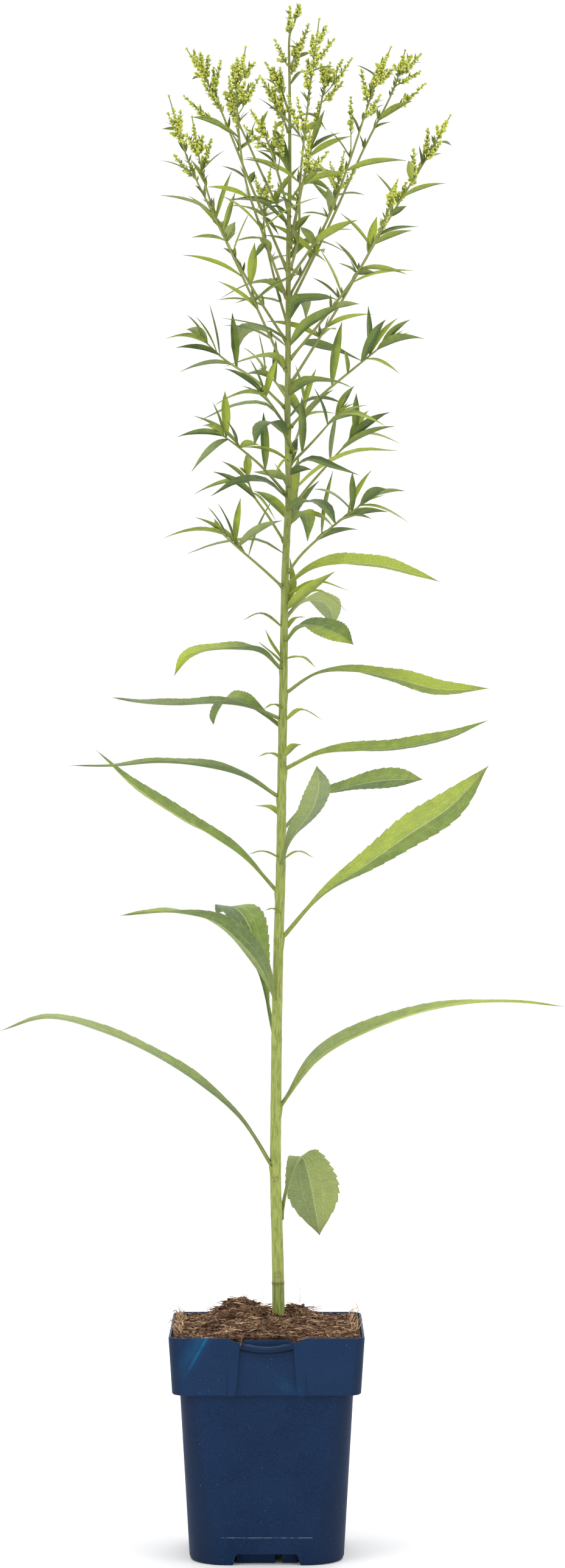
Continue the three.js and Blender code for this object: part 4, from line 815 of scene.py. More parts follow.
class Room:
    """Keeps points of all placed pieces, so that a new piece can be tried against them."""

    def __init__(self) -> None:
        """Starts empty."""
        self.points = np.zeros((0, 3))
        self.owners = np.zeros(0, int)
        self.numbers: dict[str, int] = {}

    def number(self, owner: str) -> int:
        """Gives an owner's number."""
        return self.numbers.setdefault(owner, len(self.numbers))

    def add(self, owner: str, points: Array) -> None:
        """Keeps the points of a piece."""
        self.points = np.vstack([self.points, points])
        self.owners = np.append(self.owners, np.full(len(points), self.number(owner)))

    def taken(self, owner: str, points: Array, kin: str) -> bool:
        """Tells whether a piece comes too near to one that isn't its own or its kin's.

        Args:
            owner: the piece that is tried.
            points: its points.
            kin: the piece that it grows from.

        Returns:
            True if it comes too near.
        """
        low = points.min(axis=0) - CLEAR
        high = points.max(axis=0) + CLEAR
        near = ((self.points > low) & (self.points < high)).all(axis=1)
        near &= (self.owners != self.number(owner)) & (self.owners != self.number(kin))
        others = self.points[near]
        gaps = np.linalg.norm(others[:, None] - points[None], axis=2)
        return bool((gaps < CLEAR).any())


@dataclass
class Growth:
    """What grows in one node: its twig, its blades, its bud sprays and the roots that it carries."""

    name: str
    twig: Curve
    blades: list[Blade] = field(default_factory=list)
    sprays: list[Arc] = field(default_factory=list)
    roots: list[Array] = field(default_factory=list)

    def root_on_twig(self, tip: Array, reach: float) -> float:
        """Finds where along the twig a leaf or spray grows that ends at a tip.

        Args:
            tip: where it ends.
            reach: how long it is.

        Returns:
            The share of the way along the twig.
        """
        best = at = ROOT_FROM
        least = math.inf
        while at <= ROOT_TO:
            miss = abs(float(np.linalg.norm(self.twig.point(at) - tip)) - reach)
            if miss < least:
                least, best = miss, at
            at += ROOT_STEP
        return best

    def seen_at(self, height: float) -> float:
        """Finds where the twig passes a height seen from the front.

        Args:
            height: the height as it is seen.

        Returns:
            The share of the way along the twig.
        """
        low, high = 0.0, 1.0
        for _ in range(16):
            half = (low + high) / 2
            _, y, z = self.twig.point(half)
            seen = SIGHT_HEIGHT + (z - SIGHT_HEIGHT) * SIGHT_DISTANCE / (SIGHT_DISTANCE + y)
            low, high = (half, high) if seen < height else (low, half)
        return (low + high) / 2


def arched_blade(
    root: Array, tip: Array, width: float, arch: float, roll: float = 0.0, tone: Tone = Tone.MID
) -> Blade:
    """Makes one leaf that arches from its root to its tip.

    Args:
        root: where it grows.
        tip: where it ends.
        width: its width.
        arch: how high it arches, as a share of its length.
        roll: its turn about its middle line, in degrees.
        tone: its green.

    Returns:
        The blade.
    """
    length = float(np.linalg.norm(tip - root))
    middle = root + (tip - root) * ARCH_AT + Z_AXIS * (length * arch)
    side = level_side(root, tip)
    return Blade(Arc(root, middle, tip), side, width, (roll, roll), tone=tone.value, tip_tone=tone.value)


class Plan:
    """Grows the plant's pieces one after another, each clear of the ones before it."""

    def __init__(self) -> None:
        """Grows everything."""
        self.room = Room()
        self.room.add("main_stem", stem_probes(STEM_CURVE, lambda c, s: stem_radii(c[:, 2]), 0))
        self.leaves = [self.large_leaf(leaf) for leaf in LARGE_LEAVES]
        self.shoots = [self.twig(shoot, SHOOT_RADIUS) for shoot in SHOOTS]
        self.branches = [self.twig(branch, BRANCH_RADIUS) for branch in BRANCHES]
        self.stem = Growth("main_stem", STEM_CURVE)
        self.stem.roots = [grown.twig.point(0) for grown in (*self.leaves, *self.shoots, *self.branches)]
        self.grow_stem_leaves()
        self.grow_stem_spray()
        self.grow_sprays(STEM_SPRAYS, self.stem)
        for branch, growth in zip(BRANCHES, self.branches):
            self.grow_sprays(branch.sprays, growth)
        for shoot, growth in zip(SHOOTS, self.shoots):
            self.grow_shoot_leaves(shoot, growth)
        for branch, growth in zip(BRANCHES, self.branches):
            self.grow_seen_leaves(branch, growth)
        for i, (branch, growth) in enumerate(zip(BRANCHES, self.branches)):
            self.grow_far_leaves(branch, growth, FAR_SEED + i)

    def settle(
        self, growth: Growth, label: str, shifts: Sequence[float], make: Callable, skip: float, tone: str
    ) -> None:
        """Tries a blade at its own place and then beside it, and keeps it once it is clear.

        Args:
            growth: the piece that it grows from.
            label: what it is called in that piece.
            shifts: how far it is moved at each try.
            make: makes the blade for a shift.
            skip: how much of its root may touch.
            tone: the letter of its green.
        """
        owner = f"{growth.name} {label}"
        for shift in shifts:
            blade = make(shift)
            probes = blade.probes(skip)
            if not self.room.taken(owner, probes, growth.name):
                self.room.add(owner, probes)
                blade.tone = blade.tip_tone = TONES[tone].value
                growth.blades.append(blade)
                return

    def large_leaf(self, leaf: LargeLeaf) -> Growth:
        """Grows one large leaf.

        Args:
            leaf: its row of the plan.

        Returns:
            What grows in its node.
        """
        curve = grown_curve(leaf.path, leaf.depth, LEAF_ROOT_HALF, LEAF_THICKNESS / 2 * ROOT_THINNING)
        blade = Blade(curve, curve.level_side(), leaf.width, leaf.rolls, LEAF_ROOT_HALF, leaf.widest)
        blade.tone, blade.tip_tone = (TONES[letter].value for letter in leaf.tones)
        self.room.add(leaf.name, blade.probes(LEAF_PROBE_SKIP))
        return Growth(leaf.name, curve, [blade])

    def twig(self, plan: Shoot | Branch, radii: Pair) -> Growth:
        """Grows the twig of a shoot or branch from just outside the stem to its end.

        Args:
            plan: its row of the plan.
            radii: its radius at root and tip.

        Returns:
            What grows in its node.
        """
        curve = grown_curve(plan.path, plan.depth, radii[0], radii[0])
        self.room.add(plan.name, stem_probes(curve, lambda c, s: mix(*radii, s), TWIG_PROBE_SKIP))
        if isinstance(plan, Branch):
            length = curve.length()
            self.room.add(f"{plan.name} tip", cluster_probes(curve, length, length - BUD_LENGTH))
        return Growth(plan.name, curve)

    def grow_stem_leaves(self) -> None:
        """Grows the small leaves and the young curls of the main stem."""
        tones = STEM_LEAF_TONES + TUFT_TONE * len(TUFTS)
        for i, (depth, width, roll, path) in enumerate((*STEM_LEAVES, *TUFTS)):

            def make(shift: float) -> Blade:
                """Makes the leaf at a shifted depth."""
                curve = seen_curve(path, depth + shift)
                return Blade(curve, curve.level_side(), width, (roll, roll))

            self.settle(self.stem, f"leaf {i}", DEPTH_SHIFTS, make, STEM_LEAF_PROBE_SKIP, tones[i])

    def grow_stem_spray(self) -> None:
        """Grows the bud cluster at the top of the main stem."""
        arc = self.spray(STEM_CURVE.point(TOP_SPRAY_FROM), STEM_CURVE.point(1))
        self.stem.sprays.append(arc)
        self.room.add("main_stem", cluster_probes(arc, arc.chord(), SPRAY_PROBE_SKIP))

    @staticmethod
    def spray(start: Array, tip: Array) -> Arc:
        """Makes the line of a stalk that ends in a cluster of buds."""
        sag = float(np.linalg.norm(tip - start)) * SPRAY_SAG
        return Arc(start, (start + tip) / 2 - Z_AXIS * sag, tip)

    def grow_sprays(self, sprays: Rows, growth: Growth) -> None:
        """Grows bud sprays on a twig or the stem.

        Args:
            sprays: root height and tip of each, seen from the front.
            growth: what they grow on.
        """
        for i, (root_z, x, z) in enumerate(sprays):
            owner = f"{growth.name} spray {i}"
            root = growth.twig.point(growth.seen_at(root_z))
            aside = SPRAY_OFFSET if i % 2 == 0 else -SPRAY_OFFSET
            for shift in DEPTH_SHIFTS:
                arc = self.spray(root, along_sight(x, root[1] + aside + shift, z))
                probes = cluster_probes(arc, arc.chord(), SPRAY_PROBE_SKIP)
                if not self.room.taken(owner, probes, growth.name):
                    self.room.add(owner, probes)
                    growth.sprays.append(arc)
                    break

    def grow_shoot_leaves(self, shoot: Shoot, growth: Growth) -> None:
        """Grows the leaves of a shoot, whose tips are seen from the front.

        Args:
            shoot: its row of the plan.
            growth: what grows in its node.
        """
        for i, (x, z) in enumerate(shoot.tips):
            aside = (-1 if i % 2 == 0 else 1) * (ASIDE_FIRST + ASIDE_STEP * (i % 3))
            reach = shoot.reach * (REACH_FIRST + REACH_STEP * (i % 4))

            def make(shift: float) -> Blade:
                """Makes the leaf at a shifted depth."""
                tip = along_sight(x, shoot.depth + aside + shift, z)
                root = growth.twig.point(growth.root_on_twig(tip, reach))
                length = float(np.linalg.norm(root - tip))
                width = min(SHOOT_LEAF_MOST, SHOOT_LEAF_LEAST + length * SHOOT_LEAF_SHARE)
                return arched_blade(root, tip, width, SHOOT_ARCH, SHOOT_ROLLS[i % len(SHOOT_ROLLS)])

            tone = SHOOT_TONES[i % len(SHOOT_TONES)]
            self.settle(growth, f"leaf {i}", DEPTH_SHIFTS, make, BLADE_PROBE_SKIP, tone)

    def grow_seen_leaves(self, branch: Branch, growth: Growth) -> None:
        """Grows the leaves of a branch that are seen from the front.

        Args:
            branch: its row of the plan.
            growth: what grows in its node.
        """
        for i, (root_z, x, z, width) in enumerate(branch.leaves):
            root = growth.twig.point(max(LEAF_FROM, growth.seen_at(root_z)))
            reach = math.hypot(x - root[0], z - root[2])
            aside = (-1 if i % 2 == 0 else 1) * reach * mix(*ASIDE_SHARE, (i % 3) / 2)

            def make(shift: float) -> Blade:
                """Makes the leaf at a shifted depth."""
                tip = along_sight(x, root[1] + aside + shift, z)
                return arched_blade(root, tip, width, BLADE_ARCH, BLADE_ROLLS[i % len(BLADE_ROLLS)])

            self.settle(growth, f"leaf {i}", DEPTH_SHIFTS, make, BLADE_PROBE_SKIP, branch.tones[i])

    def grow_far_leaves(self, branch: Branch, growth: Growth, seed: int) -> None:
        """Grows the leaves of a branch that turn away from the viewer, by a rule.

        Args:
            branch: its row of the plan.
            growth: what grows in its node.
            seed: starts its draws.
        """
        draw = seeded_draws(seed)
        first = draw() * math.pi
        for i in range(branch.far_leaves):
            at = mix(LEAF_FROM, FAR_TO, i / (branch.far_leaves - 1) if branch.far_leaves > 1 else FAR_LONE)
            root = growth.twig.point(at)
            along = growth.twig.tangents(np.array([at]))[0]
            length = mix(branch.far_length, branch.far_length * FAR_END_SHARE, at) * mix(0.85, 1.15, draw())
            rise = mix(0.3, 0.6, draw())
            droop = mix(0.05, 0.3, draw())

            def make(turn: float) -> Blade:
                """Makes the leaf turned aside."""
                angle = math.pi / 2 + math.sin(first + i * GOLDEN_ANGLE) * FAR_SPREAD + turn
                out = np.array([math.cos(angle) * FAR_OUT, math.sin(angle) * FAR_OUT, -droop])
                tip = root + along * (length * rise) + out * length
                return arched_blade(root, tip, FAR_WIDTH + length * FAR_WIDTH_SHARE, BLADE_ARCH)

            tone = FAR_TONES[i % len(FAR_TONES)]
            self.settle(growth, f"far leaf {i}", TURN_SHIFTS, make, BLADE_PROBE_SKIP, tone)


class Board:
    """The node board of one material."""

    def __init__(self, name: str) -> None:
        """Starts a material with its surface shader."""
        self.material = bpy.data.materials.new(name)
        self.material.use_nodes = True
        self.tree = self.material.node_tree
        self.shader = self.tree.nodes["Principled BSDF"]

    def add(self, kind: str, settings: dict | None = None, inputs: dict | None = None) -> bpy.types.Node:
        """Adds a node.

        Args:
            kind: the node's type name.
            settings: its own settings.
            inputs: values or sockets for its inputs.

        Returns:
            The new node.
        """
        node = self.tree.nodes.new(kind)
        for name, value in (settings or {}).items():
            setattr(node, name, value)
        for name, value in (inputs or {}).items():
            self.feed(node.inputs[name], value)
        return node

    def feed(self, socket: Socket, value: object) -> None:
        """Links or sets one input."""
        if isinstance(value, Socket):
            self.tree.links.new(value, socket)
        else:
            socket.default_value = value

    def math(self, operation: str, first: object, second: object = 0.0, clamp: bool = False) -> Socket:
        """Works out one sum.

        Args:
            operation: the sum's name.
            first: its first value.
            second: its second value.
            clamp: whether it stays between 0 and 1.

        Returns:
            The result.
        """
        node = self.add("ShaderNodeMath", {"operation": operation, "use_clamp": clamp})
        self.feed(node.inputs[0], first)
        self.feed(node.inputs[1], second)
        return node.outputs[0]

    def span(
        self, value: object, low: float, high: float, to_low: float = 0.0, to_high: float = 1.0
    ) -> Socket:
        """Maps a range smoothly to another.

        Args:
            value: what is mapped.
            low: where the range starts.
            high: where it ends.
            to_low: the result at its start.
            to_high: the result at its end.

        Returns:
            The result.
        """
        node = self.add("ShaderNodeMapRange", {"interpolation_type": "SMOOTHSTEP"})
        for name, number in (("From Min", low), ("From Max", high), ("To Min", to_low), ("To Max", to_high)):
            node.inputs[name].default_value = number
        self.feed(node.inputs["Value"], value)
        return node.outputs["Result"]

    def ramp(self, value: object, stops: Sequence[tuple[float, Colour]]) -> Socket:
        """Turns a value into a colour by stops.

        Args:
            value: what is turned into a colour.
            stops: places from 0 to 1 with their colours.

        Returns:
            The colour.
        """
        node = self.add("ShaderNodeValToRGB")
        band = node.color_ramp
        while len(band.elements) < len(stops):
            band.elements.new(0.5)
        for element, (place, colour) in zip(band.elements, stops):
            element.position = place
            element.color = (*colour, 1.0)
        self.feed(node.inputs["Fac"], value)
        return node.outputs["Color"]

    def blend(self, share: object, first: object, second: object) -> Socket:
        """Mixes two colours.

        Args:
            share: the share of the second.
            first: the first colour.
            second: the second colour.

        Returns:
            The mixed colour.
        """
        node = self.add("ShaderNodeMix", {"data_type": "RGBA"})
        self.feed(node.inputs[0], share)
        for slot, value in ((6, first), (7, second)):
            self.feed(node.inputs[slot], (*value, 1.0) if isinstance(value, tuple) else value)
        return node.outputs[2]

    def place(self, scale: Sequence[float] = (1, 1, 1), source: str = "Object") -> Socket:
        """Gives places on the piece, stretched by a scale.

        Args:
            scale: the stretch in each direction.
            source: which coordinates are read.

        Returns:
            The place.
        """
        coordinates = self.add("ShaderNodeTexCoord")
        mapping = self.add("ShaderNodeMapping", inputs={"Scale": tuple(scale)})
        self.feed(mapping.inputs["Vector"], coordinates.outputs[source])
        return mapping.outputs["Vector"]

    def noise(self, scale: float, detail: float = 3.0, where: object = None, rough: float = 0.55) -> Socket:
        """Gives cloudy values from 0 to 1.

        Args:
            scale: how fine it is.
            detail: how many finer layers it has.
            where: the place, or None for the piece's own.
            rough: how strong the finer layers are.

        Returns:
            The value.
        """
        node = self.add("ShaderNodeTexNoise", inputs={"Scale": scale, "Detail": detail, "Roughness": rough})
        self.feed(node.inputs["Vector"], where if where is not None else self.place())
        return node.outputs["Fac"]

    def cells(self, scale: float, feature: str = "F1", where: object = None) -> Socket:
        """Gives distances in a net of cells.

        Args:
            scale: how fine the net is.
            feature: what is measured.
            where: the place, or None for the piece's own.

        Returns:
            The distance.
        """
        node = self.add("ShaderNodeTexVoronoi", {"feature": feature}, {"Scale": scale})
        self.feed(node.inputs["Vector"], where if where is not None else self.place())
        return node.outputs["Distance"]

    def parts(self, vector: Socket) -> tuple[Socket, ...]:
        """Splits a vector into its three numbers."""
        node = self.add("ShaderNodeSeparateXYZ", inputs={"Vector": vector})
        return node.outputs[0], node.outputs[1], node.outputs[2]

    def tone(self) -> tuple[Socket, Socket, Socket]:
        """Reads the shade, the greyness and the chance value that the piece carries."""
        attribute = self.add("ShaderNodeAttribute", {"attribute_name": "tone"})
        parts = self.add("ShaderNodeSeparateColor", inputs={"Color": attribute.outputs["Color"]})
        return parts.outputs[0], parts.outputs[1], parts.outputs[2]

    def along_and_across(self) -> tuple[Socket, Socket]:
        """Reads the place across and along the piece's own surface."""
        across, along, _ = self.parts(self.place(source="UV"))
        return across, along

    def bump(self, height: Socket, distance: float) -> None:
        """Roughens the surface by a height."""
        node = self.add("ShaderNodeBump", inputs={"Distance": distance, "Height": height})
        self.feed(self.shader.inputs["Normal"], node.outputs["Normal"])

    def surface(self, colour: object, rough: object, specular: float) -> Material:
        """Sets the main sockets and hands the material over.

        Args:
            colour: its colour.
            rough: its roughness.
            specular: how much it shines.

        Returns:
            The material.
        """
        self.feed(self.shader.inputs["Base Color"], colour)
        self.feed(self.shader.inputs["Roughness"], rough)
        self.shader.inputs["Specular IOR Level"].default_value = specular
        return self.material


@dataclass(frozen=True)
class BladeFinish:
    """Matt leaf: green by its tone, which holds painted light and shade, paler veins, a fine net, a grey
    underside.
    """

    dark: Colour = (0.048, 0.104, 0.016)
    middle: Colour = (0.190, 0.272, 0.038)
    bright: Colour = (0.440, 0.525, 0.048)
    grey: Colour = (0.350, 0.410, 0.215)
    vein: Colour = (0.50, 0.57, 0.25)
    rim: Colour = (0.33, 0.32, 0.13)
    stalk: Colour = (0.270, 0.330, 0.080)
    speck: Colour = (0.05, 0.045, 0.02)

    def material(self) -> Material:
        """Makes the leaf material."""
        board = Board("leaf_blade")
        shade, grey, chance = board.tone()
        across, along = board.along_and_across()
        cloud = board.noise(160, 3)
        shade = board.math("ADD", shade, board.span(cloud, 0.2, 0.8, -0.16, 0.16))
        shade = board.math("ADD", shade, board.span(chance, 0, 1, -0.12, 0.12), True)
        # painted light: the shade brightens backlit leaves and darkens shaded leaves and one half of each
        # blade
        green = board.ramp(shade, [(0.0, self.dark), (0.45, self.middle), (1.0, self.bright)])
        green = board.blend(grey, green, self.grey)
        off = board.math("ABSOLUTE", board.math("SUBTRACT", across, 0.5))
        net = board.cells(1.0, "DISTANCE_TO_EDGE", board.place((9, 44, 1), "UV"))
        green = board.blend(board.span(net, 0.0, 0.09, 0.16, 0.0), green, self.vein)
        side = board.math("ABSOLUTE", board.math("SUBTRACT", off, 0.19))
        green = board.blend(board.span(side, 0.0, 0.013, 0.3, 0.0), green, self.vein)
        green = board.blend(board.span(off, 0.0, 0.028, 0.7, 0.0), green, self.vein)
        green = board.blend(board.span(along, 0.0, 0.2, 0.65, 0.0), green, self.stalk)
        green = board.blend(board.span(board.cells(300), 0.05, 0.09, 0.5, 0.0), green, self.speck)
        # the brownish margin is partly the leaf's own edge colour and partly painted shade along its
        # silhouette
        green = board.blend(board.span(off, 0.478, 0.5, 0.0, 0.5), green, self.rim)
        tip = board.math("MULTIPLY", board.span(along, 0.9, 1.0), 0.35)
        green = board.blend(tip, green, self.rim)
        height = board.math("ADD", board.span(net, 0, 0.12), board.math("MULTIPLY", cloud, 0.6))
        board.bump(height, 0.00018)
        return board.surface(green, board.span(cloud, 0.2, 0.8, 0.5, 0.62), 0.16)


@dataclass(frozen=True)
class StalkFinish:
    """Smooth stem: yellow-green with long streaks, darker low down, brown at old leaf scars."""

    low: Colour = (0.105, 0.140, 0.024)
    middle: Colour = (0.270, 0.325, 0.062)
    pale: Colour = (0.390, 0.440, 0.110)
    olive: Colour = (0.270, 0.235, 0.095)
    mark: Colour = (0.12, 0.07, 0.03)
    scar: Colour = (0.20, 0.115, 0.05)
    scars: Rows = ((4.2, 213.0, 3.4), (6.4, 158.0, 3.0))

    def material(self) -> Material:
        """Makes the stem material."""
        board = Board("stem_skin")
        shade, mark, chance = board.tone()
        streak = board.noise(9.0, 4, board.place((9, 0.7, 1), "UV"))
        stripe = board.noise(5.0, 2, board.place((1.7, 0.5, 1), "UV"))
        shade = board.math("ADD", shade, board.span(streak, 0.3, 0.7, -0.2, 0.2))
        shade = board.math("ADD", shade, board.span(stripe, 0.35, 0.65, -0.26, 0.26), True)
        green = board.ramp(shade, [(0.0, self.low), (0.5, self.middle), (1.0, self.pale)])
        green = board.blend(chance, green, self.olive)
        spots = board.span(board.noise(900, 2), 0.62, 0.72, 0.0, 0.35)
        green = board.blend(spots, green, self.mark)
        green = board.blend(mark, green, self.mark)
        for x, z, size in self.scars:
            front = (x * MM, (stem_middles(np.array([z]))[0][1] - stem_radii(np.array([z]))[0]) * MM, z * MM)
            away = board.add("ShaderNodeVectorMath", {"operation": "DISTANCE"}, {0: board.place(), 1: front})
            near = board.span(away.outputs["Value"], size * 0.3 * MM, size * MM, 1.0, 0.0)
            patch = board.span(board.noise(1100, 2), 0.44, 0.56, 0.0, 0.85)
            green = board.blend(board.math("MULTIPLY", near, patch), green, self.scar)
        board.bump(streak, 0.00025)
        return board.surface(green, 0.45, 0.4)


@dataclass(frozen=True)
class BudFinish:
    """Closed bud: green at its foot, yellow-green at its tip."""

    foot: Colour = (0.24, 0.30, 0.045)
    body: Colour = (0.48, 0.53, 0.085)
    tip: Colour = (0.68, 0.685, 0.120)

    def material(self) -> Material:
        """Makes the bud material."""
        board = Board("closed_bud")
        shade, _, chance = board.tone()
        shade = board.math("ADD", shade, board.span(chance, 0, 1, -0.2, 0.2), True)
        green = board.ramp(shade, [(0.0, self.foot), (0.5, self.body), (1.0, self.tip)])
        board.bump(board.noise(2500, 2), 0.0001)
        return board.surface(green, 0.5, 0.35)


@dataclass(frozen=True)
class PotFinish:
    """Dark blue moulded plastic with a fine grain, dust, an old scuff at the left of the skirt, and painted
    shade below the skirt, at the round corners and under the lip.
    """

    deep: Colour = (0.0038, 0.0155, 0.048)
    blue: Colour = (0.0090, 0.0275, 0.073)
    grain: Colour = (0.016, 0.046, 0.125)
    corner: Colour = (0.0080, 0.0095, 0.017)
    scuff: Colour = (0.006, 0.105, 0.235)
    dust: Colour = (0.30, 0.36, 0.42)
    scratch: Colour = (0.16, 0.21, 0.27)
    skirt_foot: float = 0.0967
    front_from: Pair = (-0.0425, -0.0415)
    scuff_top: Pair = (-0.0338, 0.1284)
    scuff_foot: Pair = (-0.0470, 0.1051)
    smear: Pair = (0.0127, 0.1010)
    scratch_height: float = 0.0158
    scratch_half: float = 0.0262
    painted_lip_shadow: Colour = (0.0030, 0.0045, 0.009)
    lip_foot: float = 0.1224
    lip_half: float = 0.0151
    lip_bow: float = 0.0016

    def material(self) -> Material:
        """Makes the pot's plastic."""
        board = Board("moulded_plastic")
        x, y, z = board.parts(board.place())
        grain = board.noise(1500, 2)
        cloud = board.noise(38, 3)
        # painted shade: the body below the skirt is drawn darker than the skirt, mixed with random cloudy
        # tone
        upper = board.span(z, self.skirt_foot - 0.001, self.skirt_foot, 0.0, 0.5)
        painted_light_and_cloud = board.math("ADD", upper, board.span(cloud, 0.3, 0.7, 0.0, 0.45))
        blue = board.blend(painted_light_and_cloud, self.deep, self.blue)
        blue = board.blend(board.span(grain, 0.35, 0.75, 0.0, 0.4), blue, self.grain)
        # painted shade: the round vertical corners are darkened by how far their normal turns between x and y
        nx, ny, _ = board.parts(board.add("ShaderNodeTexCoord").outputs["Normal"])
        bend = board.math("ABSOLUTE", board.math("MULTIPLY", nx, ny))
        blue = board.blend(board.span(bend, 0.1, 0.5, 0.0, 0.3), blue, self.corner)
        front = board.span(y, *self.front_from, 1.0, 0.0)
        blue = board.blend(board.math("MULTIPLY", self.streak(board, x, z), front), blue, self.scuff)
        blue = board.blend(board.math("MULTIPLY", self.line(board, x, z), front), blue, self.scratch)
        # painted shadow: a dark band on the panel under the lip
        blue = board.blend(board.math("MULTIPLY", self.under_lip(board, x, z), front), blue, self.painted_lip_shadow)
        spots = board.cells(330)
        thin = board.span(board.noise(70, 1), 0.5, 0.62)
        spots = board.math("MULTIPLY", board.span(spots, 0.03, 0.07, 0.6, 0.0), thin)
        blue = board.blend(spots, blue, self.dust)
        board.bump(grain, 0.00009)
        return board.surface(blue, board.span(cloud, 0.3, 0.7, 0.45, 0.58), 0.09)

    def streak(self, board: Board, x: Socket, z: Socket) -> Socket:
        """Gives the share of the scuff, a slanting streak that fades towards its foot, and of a smear.

        Args:
            board: the material's board.
            x: the place across.
            z: the height.

        Returns:
            The share.
        """
        slope = (self.scuff_top[0] - self.scuff_foot[0]) / (self.scuff_top[1] - self.scuff_foot[1])
        foot = self.scuff_foot[0] - slope * self.scuff_foot[1]
        line = board.math("ADD", board.math("MULTIPLY", z, slope), foot)
        off = board.math("SUBTRACT", x, line)
        core = board.span(board.math("ABSOLUTE", off), 0.0003, 0.0016, 0.85, 0.0)
        halo = board.span(board.math("ABSOLUTE", board.math("ADD", off, 0.0032)), 0.0, 0.0085, 0.34, 0.0)
        fade = board.span(z, self.scuff_foot[1] - 0.002, self.scuff_top[1] - 0.004)
        share = board.math("MULTIPLY", board.math("MAXIMUM", core, halo), fade)
        share = board.math("MULTIPLY", share, board.span(board.noise(300, 3), 0.25, 0.6, 0.55, 1.0))
        aside = board.math("SUBTRACT", x, self.smear[0])
        above = board.math("SUBTRACT", z, self.smear[1])
        slant = board.math("ABSOLUTE", board.math("ADD", aside, above))
        away = board.math("ADD", slant, board.math("ABSOLUTE", above))
        return board.math("ADD", share, board.span(away, 0.0, 0.011, 0.14, 0.0))

    def under_lip(self, board: Board, x: Socket, z: Socket) -> Socket:
        """Gives the share of the painted shadow that follows the bowed lip on the panel under it.

        Args:
            board: the material's board.
            x: the place across.
            z: the height.

        Returns:
            The share.
        """
        bow = board.math("MULTIPLY", board.math("MULTIPLY", x, x), self.lip_bow / self.lip_half**2)
        below = board.math("SUBTRACT", board.math("SUBTRACT", z, bow), self.lip_foot - self.lip_bow)
        near = board.span(board.math("ABSOLUTE", below), 0.0005, 0.0010, 0.75, 0.0)
        wide = board.span(board.math("ABSOLUTE", x), self.lip_half - 0.0004, self.lip_half, 1.0, 0.0)
        return board.math("MULTIPLY", near, wide)

    def line(self, board: Board, x: Socket, z: Socket) -> Socket:
        """Gives the share of the broken pale scratch near the foot.

        Args:
            board: the material's board.
            x: the place across.
            z: the height.

        Returns:
            The share.
        """
        above = board.math("ABSOLUTE", board.math("SUBTRACT", z, self.scratch_height))
        near = board.span(above, 0.00012, 0.00024, 0.8, 0.0)
        wide = board.span(board.math("ABSOLUTE", x), self.scratch_half - 0.001, self.scratch_half, 1.0, 0.0)
        broken = board.span(board.noise(420, 1), 0.4, 0.5, 0.25, 1.0)
        return board.math("MULTIPLY", board.math("MULTIPLY", near, wide), broken)


@dataclass(frozen=True)
class PeatFinish:
    """Loose brown peat, with painted shade in its gaps."""

    deep: Colour = (0.014, 0.007, 0.005)
    brown: Colour = (0.115, 0.062, 0.039)
    tan: Colour = (0.32, 0.20, 0.125)

    def material(self) -> Material:
        """Makes the peat."""
        board = Board("peat_crumb")
        fine = board.noise(750, 5, rough=0.7)
        patch = board.noise(90, 3)
        hollow, _, _ = board.tone()
        shade = board.math("ADD", board.math("MULTIPLY", fine, 0.75), board.math("MULTIPLY", patch, 0.35))
        # painted shade: the peat darkens towards the bottom of its hollows
        shade = board.math("ADD", shade, board.span(hollow, 0.0, 1.0, -0.24, 0.12))
        brown = board.ramp(shade, [(0.36, self.deep), (0.56, self.brown), (0.78, self.tan)])
        board.bump(fine, 0.0012)
        return board.surface(brown, 0.95, 0.1)


@dataclass(frozen=True)
class FibreFinish:
    """Plant fibres and crumbs in the peat, from dark brown to straw."""

    dark: Colour = (0.030, 0.014, 0.008)
    brown: Colour = (0.205, 0.113, 0.066)
    straw: Colour = (0.72, 0.49, 0.29)

    def material(self) -> Material:
        """Makes the fibres."""
        board = Board("peat_fibre")
        shade, _, _ = board.tone()
        shade = board.math("ADD", shade, board.span(board.noise(600, 3), 0.3, 0.7, -0.18, 0.18), True)
        brown = board.ramp(shade, [(0.0, self.dark), (0.5, self.brown), (1.0, self.straw)])
        board.bump(board.noise(1800, 2), 0.0003)
        return board.surface(brown, 0.85, 0.15)


@dataclass(frozen=True)
class FloorFinish:
    """Pale matt studio floor."""

    pale: Colour = (0.97, 0.97, 0.97)

    def material(self) -> Material:
        """Makes the floor."""
        return Board("studio_floor").surface((*self.pale, 1.0), 0.9, 0.1)


class Coat(Enum):
    """Which finish a face takes on a grown piece."""

    BLADE = 0
    STALK = 1
    BUD = 2


